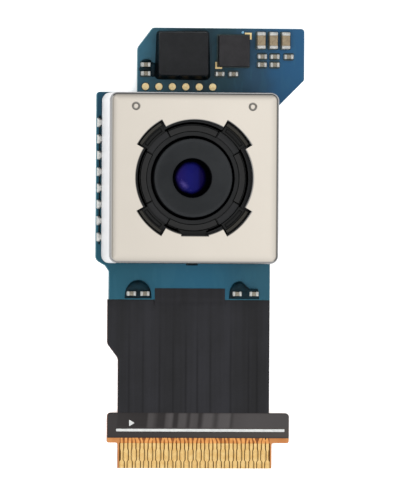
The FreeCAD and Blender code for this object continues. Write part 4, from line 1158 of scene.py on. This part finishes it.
class MODULE_OT_chips(bpy.types.Operator):
    """Makes the two chips with the resin round the large one; its longer reach below and to the right is
    partly painted shadow of the chip
    """

    bl_idname = "camera_module.chips"
    bl_label = "Chips"

    def execute(self, context):
        for name, node, corner, first, second in (
            ("large_chip", "control_chip", 0.13, (26, 27, 29), (30, 31, 33)),
            ("small_chip", "motion_chip", 0.06, (38, 37, 39), (44, 43, 45)),
        ):
            low, high = extent(node)
            outline = rectangle(low[0], high[0], low[1], high[1], corner, 6)
            finish = two_tone(name + "_resin", first, second, 0.5, roughness=(0.42, 0.56), specular=0.22,
                              bump_mm=0.003, bump_size_mm=0.03)
            add_piece(name, [plate(outline, low[2], high[2], 0, 0.05, 5)], finish,
                      stands_for=[node])
        low, high = extent("control_chip")
        foot, top = (corner[2] for corner in extent("control_chip_underfill"))
        outline = rectangle(low[0], high[0], low[1], high[1], 0.13, 8)
        wave = ripple(7, len(outline), context.scene.camera_module.small_flaw_seed)
        # Partly painted shadow: the resin reaches further below the chip and to its right, where the chip's
        # shadow lies.
        below = smooth_step(low[1] + 0.3, low[1], outline[:, 1])
        beside = smooth_step(high[0] - 0.3, high[0], outline[:, 0])
        reach = 0.085 + 0.012 * wave + 0.16 * below + 0.05 * beside
        share = np.linspace(0, 1, 8)[:, None]
        # The resin's reach falls as (1 - share)^1.7 while it climbs as share^0.8 of its height.
        outer = rings(outline, -reach * (1 - share) ** 1.7, foot + (top - foot) * share ** 0.8)
        inner = rings(outline, np.full((2, 1), 0.01), np.array([[top - 0.02], [foot]]))
        finish = two_tone("wet_black_resin", (5, 7, 9), (9, 12, 15), 0.3, (0.25, 0.4), specular=0.25)
        collar = grid(np.concatenate([outer, inner]), wrap_rows=True)
        add_piece("chip_resin_collar_and_shadow", [collar], finish, stands_for=["control_chip_underfill"],
                  sharp_degrees=60)
        return {"FINISHED"}


class MODULE_OT_capacitors(bpy.types.Operator):
    """Makes the chip capacitors with their tinned ends and solder feet"""

    bl_idname = "camera_module.capacitors"
    bl_label = "Capacitors"

    kinds = (
        ("large", (0.50, 1.00, 0.50), 0.19, "brown_ceramic", (150, 134, 108), (132, 117, 94)),
        ("small", (0.56, 0.28, 0.28), 0.28, "grey_ceramic", (140, 134, 120), (122, 116, 104)),
    )

    def execute(self, context):
        seed = context.scene.camera_module.small_flaw_seed
        tin = solder_finish()
        for kind, size, share, name, first, second in self.kinds:
            ceramic = two_tone(name, first, second, 0.2, roughness=(0.4, 0.55), bump_mm=0.002)
            bodies = []
            ends = []
            for number, (low, high) in enumerate(solids_of(kind + "_capacitor_bodies")):
                x, y = (low + high)[:2] / 2
                body, pair = capacitor_patches(x, y, size, share, seed + number)
                bodies.append(body)
                ends += pair
            add_piece(kind + "_ceramic_bodies", bodies, ceramic,
                      stands_for=[kind + "_capacitor_bodies"])
            add_piece(kind + "_tinned_ends", ends, tin, stands_for=[kind + "_capacitor_ends"])
        return {"FINISHED"}


class MODULE_OT_glue(bpy.types.Operator):
    """Makes the drops of black resin on the neck and beside the large chip, and a dark dab along the can's
    lower edge
    """

    bl_idname = "camera_module.glue"
    bl_label = "Resin drops"

    dabs = (
        (-2.86, -2.06, 6.52, 6.82, 0.10), (-2.14, -1.84, 6.20, 7.10, 0.08),
        # The last dab is a dark mark along the can's lower edge.
        (0.12, 0.86, -5.33, -5.21, 0.08),
    )
    lopsided = 2

    def arch(self, number, share):
        """Rise of a drop's outline over its straight foot, as a share of its reach: half an ellipse.

        The lopsided drop has a quarter ellipse on one side, and falls in two smooth steps on the other.
        """
        if number != self.lopsided:
            return np.sqrt(np.maximum(1 - (2 * share - 1) ** 2, 0)) ** 0.9
        peak = 0.34
        left = np.sqrt(np.maximum(1 - ((share - peak) / peak) ** 2, 0)) ** 0.8
        right = 1 - 0.42 * smooth_step(0.36, 0.72, share) - 0.58 * smooth_step(0.93, 1.0, share) ** 2
        return np.where(share < peak, left, right)

    def execute(self, context):
        seed = context.scene.camera_module.small_flaw_seed
        base = extent("rigid_board")[1][2]
        share = np.linspace(1, 0, 40)
        patches = []
        for number, (low, high) in enumerate(solids_of("glue_domes")):
            x = (low[0] + high[0]) / 2
            half = (high[0] - low[0]) / 2
            y = low[1]
            reach = high[1] - y
            arch = np.stack([x - half + 2 * half * share, y + reach * self.arch(number, share)], -1)
            foot = np.stack([np.linspace(x - half, x + half, 16)[1:-1], np.full(14, y)], -1)
            centre = np.array([x - 0.25 * half if number == self.lopsided else x, y + 0.42 * reach])
            outline = uneven(np.concatenate([arch, foot]), centre, 0.012, seed + 20 + number)
            outline = np.clip(outline, low[:2], high[:2])
            points, faces = dome(outline, centre, base, high[2] - base, 0.6, steps=12)
            # The drop lies low over its straight foot, and a smooth step lifts it towards the arch.
            front = smooth_step(y + 0.30 * reach, y + 0.62 * reach, points[:, 1])
            points[:, 2] = base + (points[:, 2] - base) * (0.42 + 0.58 * front)
            patches.append((points, faces))
        for x0, x1, y0, y1, rise in self.dabs:
            outline = rectangle(x0, x1, y0, y1, min(x1 - x0, y1 - y0) * 0.45)
            centre = np.array([(x0 + x1) / 2, (y0 + y1) / 2])
            outline = uneven(outline, centre, 0.05, seed + len(patches))
            patches.append(dome(outline, centre, base, rise, 0.5))
        finish = two_tone("black_resin", (9, 38, 48), (6, 20, 25), 0.4, (0.3, 0.45), specular=0.16)
        add_piece("resin_drops", patches, finish, stands_for=["glue_domes"], sharp_degrees=60)
        return {"FINISHED"}


class MODULE_OT_terminals(bpy.types.Operator):
    """Makes the solder that joins the side terminals to the board, and a dark strip of painted shade along
    the foot of the can's wall
    """

    bl_idname = "camera_module.terminals"
    bl_label = "Side solder"

    def execute(self, context):
        seed = context.scene.camera_module.small_flaw_seed
        can_side = extent("shield_can")[0][0]
        patches = []
        for number, (low, high) in enumerate(solids_of("terminal_solder")):
            outline = rectangle(low[0], can_side - 0.01, low[1], high[1], 0.06, 6)
            centre = np.array([can_side - 0.03, (low[1] + high[1]) / 2])
            outline = uneven(outline, centre, 0.05, seed + 40 + number)
            outline[:, 0] = np.clip(outline[:, 0], low[0], can_side - 0.005)
            patches.append(dome(outline, centre, low[2], high[2] - low[2], 0.45, steps=9))
        add_piece("side_solder", patches, solder_finish(), stands_for=["terminal_solder"],
                  sharp_degrees=60)
        board = extent("rigid_board")[1][2]
        low, high = extent("side_terminals")
        # Painted shade: a dark strip on the board where it meets the can's wall.
        wall_foot_shade = rectangle(can_side - 0.11, can_side - 0.005, low[1] - 0.3, high[1] + 0.3, 0.04)
        add_piece("wall_foot_painted_shade", [plate(wall_foot_shade, board - 0.01, board + 0.03, 0, 0.015)],
                  two_tone("painted_shade_black", (16, 28, 32), (24, 40, 44), 0.2, specular=0.2))
        return {"FINISHED"}


class MODULE_OT_tail(bpy.types.Operator):
    """Makes the black films of the tail, the cover of the contact end and its plain signs"""

    bl_idname = "camera_module.tail"
    bl_label = "Tail films"

    tab_x = (-1.80, 2.53)
    climb = 0.50
    waist = ((-10.14, 0.46), (-11.02, 0.46))
    waist_x = -4.03
    ribs = (-3.33, -2.47, -1.44, -0.61, 0.18, 0.89, 1.70, 2.95, 4.06, 4.58)
    arrow = ((-3.32, -15.18, 0.02), (-2.98, -14.98, 0.02), (-3.32, -14.78, 0.02))

    def left_edge(self, low, board_edge):
        """Left side of the film as (x, y) points from the board down, with its step in at the waist."""
        (upper_y, upper_radius), (lower_y, lower_radius) = self.waist
        corners = [
            (low[0], board_edge, 0), (low[0], upper_y, upper_radius), (self.waist_x, lower_y, lower_radius),
            (self.waist_x, low[1], 0), (self.waist_x + 1, low[1], 0), (self.waist_x + 1, board_edge, 0),
        ]
        return rounded_outline(corners, 12)[:-2]

    def film_patches(self, low, high, flat, top):
        """The film with its shallow waves, and the tab that climbs the board's edge in a smooth step."""
        board_low, board_high = extent("rigid_board")
        board_edge = board_low[1]
        edge = self.left_edge(low, board_edge)
        y = np.unique(np.concatenate([np.linspace(board_edge, low[1], 34), edge[:, 1]]))[::-1]
        left = np.interp(y, edge[::-1, 1], edge[::-1, 0])

        def waves(x, along):
            """Two cosines across the film, let in below the board by a smooth step."""
            wave = 0.0022 * np.cos(7.1 * x + 0.6 * np.sin(1.7 * x)) + 0.0010 * np.cos(15.3 * x)
            return top - 0.004 + wave * smooth_step(board_edge - 0.2, board_edge - 2.5, along)

        foot = board_edge - self.climb
        tab_y = np.concatenate([np.linspace(foot, board_edge, 17), np.linspace(board_edge, high[1], 6)[1:]])

        def tab_top(x, along):
            """From the film's height to the solid's, by a smooth step over the climb."""
            return top + (high[2] - top) * smooth_step(foot, board_edge, along)

        tab_left, tab_right = (np.full(len(tab_y), x) for x in self.tab_x)
        points, faces = strip(tab_left, tab_right, tab_y, tab_top, 0, 12)
        under = points[:, 2] == 0
        on_board = points[:, 1] >= board_edge - 1e-6
        points[under, 2] = np.where(on_board, board_high[2] + 0.001, flat + 0.01)[under]
        return [strip(left, np.full(len(y), high[0]), y, waves, flat, 140), (points, faces)]

    def execute(self, context):
        low, high = extent("shield_film")
        flat = extent("flex_tail")[1][2]
        cover_low, cover_high = extent("contact_cover")
        top = cover_high[2]
        film = tail_film("shield_black", (29, 29, 31), (38, 38, 42), 0.8, self.ribs)
        add_piece("tail_shield_film", self.film_patches(low, high, flat, top), film,
                  stands_for=["shield_film"])
        cover = rounded_outline([
            (cover_low[0], cover_high[1], 0.23), (cover_low[0], cover_low[1], 0.02),
            (cover_high[0], cover_low[1], 0.02), (cover_high[0], cover_high[1], 0.23),
        ], 8)
        add_piece("contact_band", [plate(cover, flat, top, 0, 0.012)], band_film(),
                  stands_for=["contact_cover"])
        ink = two_tone("white_ink", (214, 216, 214), (198, 200, 200), 0.3, roughness=(0.5, 0.6))
        line_y = cover_low[1] + 0.47
        line = rectangle(cover_low[0] + 0.55, cover_high[0] - 0.28, line_y - 0.08, line_y + 0.08, 0.03)
        for name, outline in (("white_line", line), ("white_arrow", rounded_outline(self.arrow, 4))):
            add_piece(name, [plate(outline, top - 0.002, top + 0.004, 0, 0.002)], ink)
        return {"FINISHED"}


class MODULE_OT_contacts(bpy.types.Operator):
    """Makes the staggered gold contacts, a dark ground of painted shade between them, and the tracks that
    lead to them
    """

    bl_idname = "camera_module.contacts"
    bl_label = "Contacts"

    def execute(self, context):
        settings = context.scene.camera_module
        add_piece("gold_contacts", contact_patches(settings), gold(),
                  stands_for=["contact_fingers"])
        low, high = extent("contact_fingers")
        band_y = extent("contact_cover")[0][1]
        foot = low[2]
        thick = high[2] - foot
        # Painted shade: a dark brown ground under the contacts, seen in the narrow gaps between them.
        ground = rectangle(low[0] - 0.02, high[0] + 0.02, low[1] + 0.005, high[1] + 0.02, 0.01, 2)
        shade = rectangle(low[0] + 0.02, high[0] - 0.02, high[1], band_y + 0.01, 0.01, 2)
        gap_shade_brown = two_tone("painted_gap_shade", (88, 56, 12), (70, 44, 8), 0.2, specular=0.2)
        ground = plate(ground, foot - 0.01, foot + 0.15 * thick, 0, 0.001, 2)
        add_piece("contact_gap_shade", [ground], gap_shade_brown)
        # A track is a straight bar that leans to one side by a smooth step as it nears the cover.
        tracks = []
        random = np.random.default_rng(settings.small_flaw_seed + 60)
        share = np.linspace(0, 1, 8)
        section = np.array([(-1, -0.5), (-1, 1), (1, 1), (1, -0.5)])
        for contact_low, contact_high in solids_of("contact_fingers"):
            lean = random.uniform(-0.12, 0.12)
            half = random.uniform(0.055, 0.10)
            middle = (contact_low[0] + contact_high[0]) / 2 + lean * smooth_step(0.2, 1.0, share)
            points = np.empty((len(share), len(section), 3))
            points[..., 0] = middle[:, None] + half * section[:, 0]
            points[..., 1] = np.linspace(high[1] - 0.01, band_y + 0.02, len(share))[:, None]
            points[..., 2] = foot + 0.45 * thick * section[:, 1]
            tracks.append(capped_grid(points))
        copper = two_tone("covered_copper", (226, 160, 92), (204, 136, 70), 0.25, roughness=(0.35, 0.45),
                          specular=0.3)
        add_piece("covered_tracks", tracks, copper)
        amber = two_tone("amber_shade", (120, 64, 16), (150, 86, 26), 0.4)
        shade = plate(shade, foot - 0.01, foot + 0.1 * thick, 0, 0.001, 2)
        add_piece("track_ground", [shade], amber)
        return {"FINISHED"}


class MODULE_OT_other_finishes(bpy.types.Operator):
    """Gives every solid that keeps its own mesh its finish"""

    bl_idname = "camera_module.other_finishes"
    bl_label = "Other finishes"

    def execute(self, context):
        finishes = {
            two_tone("rolled_steel", (186, 186, 184), (168, 168, 166), 1.2, (0.28, 0.4), metallic=1.0,
                     bump_mm=0.001): ("back_plate", "focus_yoke"),
            two_tone("hidden_moulding", (34, 34, 36), (44, 44, 46), 0.8, (0.42, 0.55), specular=0.32,
                     bump_mm=0.002, bump_size_mm=0.035): (
                "sensor_holder", "actuator_housing", "focus_carrier", "shift_frame", "lens_holder",
                "lens_spacers", "lens_retainer"),
            two_tone("nickel_plate", (190, 188, 182), (170, 168, 164), 0.6, (0.18, 0.3), metallic=1.0): (
                "focus_magnet", "shift_magnet_x", "shift_magnet_y"),
            two_tone("white_ceramic", (232, 231, 226), (222, 221, 216), 0.3, (0.08, 0.16)): (
                "guide_balls", "frame_balls", "holder_balls"),
            two_tone("small_chip_resin", (36, 36, 38), (46, 46, 48), 0.3): (
                "focus_driver_chip", "hall_sensor_x", "hall_sensor_y"),
            two_tone("sensor_silicon", (52, 58, 70), (70, 72, 88), 1.4, (0.08, 0.15), metallic=0.5): (
                "image_sensor",),
            tail_film("back_black", (38, 38, 40), (46, 46, 49), 0.6): ("tail_back_film",),
            winding(): ("focus_coil", "shift_coil_x", "shift_coil_y"),
            amber_film(): ("flex_tail", "contact_stiffener", "coil_flex"),
            clear_glass("filter_glass", (96, 168, 186), (120, 186, 200), 3.0, 0.6, 1.5): ("ir_filter",),
            clear_glass("inner_glass", (196, 204, 222), (214, 220, 232), 1.5, 0.7, 1.54): (
                "lens_element_2", "lens_element_3", "lens_element_4", "lens_element_5"),
            gold("mark_gold", (250, 226, 170), (240, 210, 150)): ("corner_marks",),
            solder_finish(): ("side_terminals",),
        }
        for finish, names in finishes.items():
            for name in names:
                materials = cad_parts[name].data.materials
                materials.clear()
                materials.append(finish)
        return {"FINISHED"}


class MODULE_OT_stage(bpy.types.Operator):
    """Makes the pale floor, the soft light and the camera"""

    bl_idname = "camera_module.stage"
    bl_label = "Floor, light and camera"

    tilt_degrees = 7.83
    roll_degrees = -0.35
    distance = 0.60
    aim_mm = (0.974, -4.376, 0.55)
    frame_height_mm = 30.60
    sensor_mm = 36.0
    walls = (
        ((0.0, 0.95), (0.30, 1.0), (0.60, 0.78), (0.82, 0.48), (0.93, 0.40), (0.972, 0.50), (0.995, 0.85)),
        ((0.0, 0.28), (0.30, 0.18), (0.50, 0.20), (0.75, 0.45), (0.90, 0.80), (0.97, 0.95), (0.99, 1.0)),
        ((0.0, 0.20), (0.30, 0.10), (0.50, 0.15), (0.66, 0.40), (0.90, 0.46), (0.95, 0.64), (0.97, 0.85),
         (0.99, 1.0)),
        ((0.0, 0.50), (0.40, 0.58), (0.80, 0.72), (0.95, 0.85), (0.98, 0.96), (0.995, 1.0)),
    )

    def execute(self, context):
        self.floor()
        self.world()
        self.lamp("key_lamp", (-0.16, -0.12, 0.40), 0.30, 1.1)
        self.lamp("fill_lamp", (0.20, 0.16, 0.34), 0.26, 0.5)
        self.camera()
        context.scene.view_settings.view_transform = "Standard"
        return {"FINISHED"}

    def placed(self, name, data):
        """A new object with its data, in the scene."""
        thing = bpy.data.objects.new(name, data)
        bpy.context.scene.collection.objects.link(thing)
        return thing

    def floor(self):
        """A wide pale sheet just under the part. From below it is clear, and light reaches the part."""
        size = 0.6
        level = -0.02 * MM
        mesh = bpy.data.meshes.new("floor")
        corners = [(-size, -size, level), (size, -size, level), (size, size, level), (-size, size, level)]
        mesh.from_pydata(corners, [], [(0, 1, 2, 3)])
        made = Finish("pale_floor", roughness=0.9, specular=0.0)
        made.set("Base Color", made.patches(60.0, (246, 246, 246), (248, 248, 248)))
        path = made.node("ShaderNodeLightPath").outputs
        seen = path["Is Camera Ray"]
        made.set("Emission Strength", made.times(seen, 0.55))
        made.set("Emission Color", WHITE)
        near = made.times(made.maths("LESS_THAN", path["Ray Length"], 1.0 * MM), made.minus(1.0, seen))
        under = made.maths("MAXIMUM", made.node("ShaderNodeNewGeometry").outputs["Backfacing"], near)
        clear = made.node("ShaderNodeBsdfTransparent").outputs["BSDF"]
        both = made.node("ShaderNodeMixShader", {0: under, 1: made.shader.outputs["BSDF"], 2: clear})
        made.feed(made.tree.nodes["Material Output"].inputs["Surface"], both.outputs["Shader"])
        mesh.materials.append(made.material)
        self.placed("floor", mesh)

    def world(self):
        """White to the camera; to glossy rays a room whose four sides fall off differently from overhead.

        Each side is a ramp over the height of the ray: overhead is 1, and the walls stand at 0.
        """
        world = bpy.data.worlds.new("studio")
        bpy.context.scene.world = world
        world.use_nodes = True
        sky = Nodes(world.node_tree)
        way = sky.node("ShaderNodeTexCoord").outputs["Generated"]
        x, y, height = (sky.axis(way, index) for index in range(3))
        west, east, north, south = (
            sky.ramp(height, [(place, (value, value, value, 1.0)) for place, value in stops])
            for stops in self.walls
        )
        pair_y = sky.mix(sky.rise(y, -0.05, 0.05), south, north)
        pair_x = sky.mix(sky.rise(x, -0.05, 0.05), west, east)
        more_x = sky.minus(sky.unsigned(x), sky.unsigned(y))
        glossy = sky.mix(sky.rise(more_x, -0.08, 0.08), pair_y, pair_x)
        path = sky.node("ShaderNodeLightPath").outputs
        seen = sky.maths("MAXIMUM", path["Is Camera Ray"], path["Is Transmission Ray"])
        lit = sky.mix(path["Is Glossy Ray"], (0.62, 0.62, 0.62, 1.0), glossy)
        sky.feed(sky.tree.nodes["Background"].inputs["Color"], sky.mix(seen, lit, WHITE))

    def lamp(self, name, place, size, power):
        """A square soft lamp that points at the module."""
        data = bpy.data.lights.new(name, "AREA")
        data.shape = "SQUARE"
        data.size = size
        data.energy = power
        lamp = self.placed(name, data)
        lamp.location = place
        lamp.rotation_euler = (-Vector(place)).to_track_quat("-Z", "Y").to_euler()
        lamp.visible_glossy = False

    def camera(self):
        """Leans to the left by the tilt and turns by the roll, both read from the photograph."""
        data = bpy.data.cameras.new("camera")
        data.sensor_width = self.sensor_mm
        data.lens = self.sensor_mm * self.distance / (self.frame_height_mm * MM)
        data.clip_start = 0.01
        data.clip_end = 10
        camera = self.placed("camera", data)
        tilt = math.radians(self.tilt_degrees)
        roll = math.radians(self.roll_degrees)
        back = Vector((-math.sin(tilt), 0, math.cos(tilt)))
        right = Vector((math.cos(tilt), 0, math.sin(tilt)))
        upward = Vector((0, 1, 0)) * math.cos(roll) + right * math.sin(roll)
        matrix = camera.matrix_world.copy()
        columns = (upward.cross(back), upward, back, Vector(self.aim_mm) * MM + back * self.distance)
        for index, column in enumerate(columns):
            matrix.col[index][:3] = column
        camera.matrix_world = matrix
        bpy.context.scene.camera = camera


class MODULE_PT_panel(bpy.types.Panel):
    """Sidebar panel with the sizes and one button for each group of pieces"""

    bl_idname = "MODULE_PT_panel"
    bl_label = "Camera module"
    bl_space_type = "VIEW_3D"
    bl_region_type = "UI"
    bl_category = "Camera module"

    def draw(self, context):
        """Lists the settings, then a button for each operator."""
        settings = context.scene.camera_module
        for name in settings.bl_rna.properties.keys():
            if name not in ("rna_type", "name"):
                self.layout.prop(settings, name)
        for operator in PIECES:
            self.layout.operator(operator.bl_idname)


PIECES = (
    MODULE_OT_stage, MODULE_OT_can, MODULE_OT_stop_ring, MODULE_OT_lens, MODULE_OT_board, MODULE_OT_chips,
    MODULE_OT_capacitors, MODULE_OT_glue, MODULE_OT_terminals, MODULE_OT_tail, MODULE_OT_contacts,
    MODULE_OT_other_finishes,
)


def register():
    """Adds the settings, the operators and the panel."""
    bpy.utils.register_class(CameraModuleSettings)
    bpy.types.Scene.camera_module = bpy.props.PointerProperty(type=CameraModuleSettings)
    for operator in PIECES:
        bpy.utils.register_class(operator)
    bpy.utils.register_class(MODULE_PT_panel)


def unregister():
    """Takes the panel, the operators and the settings away again."""
    bpy.utils.unregister_class(MODULE_PT_panel)
    for operator in reversed(PIECES):
        bpy.utils.unregister_class(operator)
    del bpy.types.Scene.camera_module
    bpy.utils.unregister_class(CameraModuleSettings)


def main():
    """Makes every piece in order."""
    register()
    for operator in PIECES:
        group, name = operator.bl_idname.split(".")
        getattr(getattr(bpy.ops, group), name)()


if __name__ == "__main__":
    main()
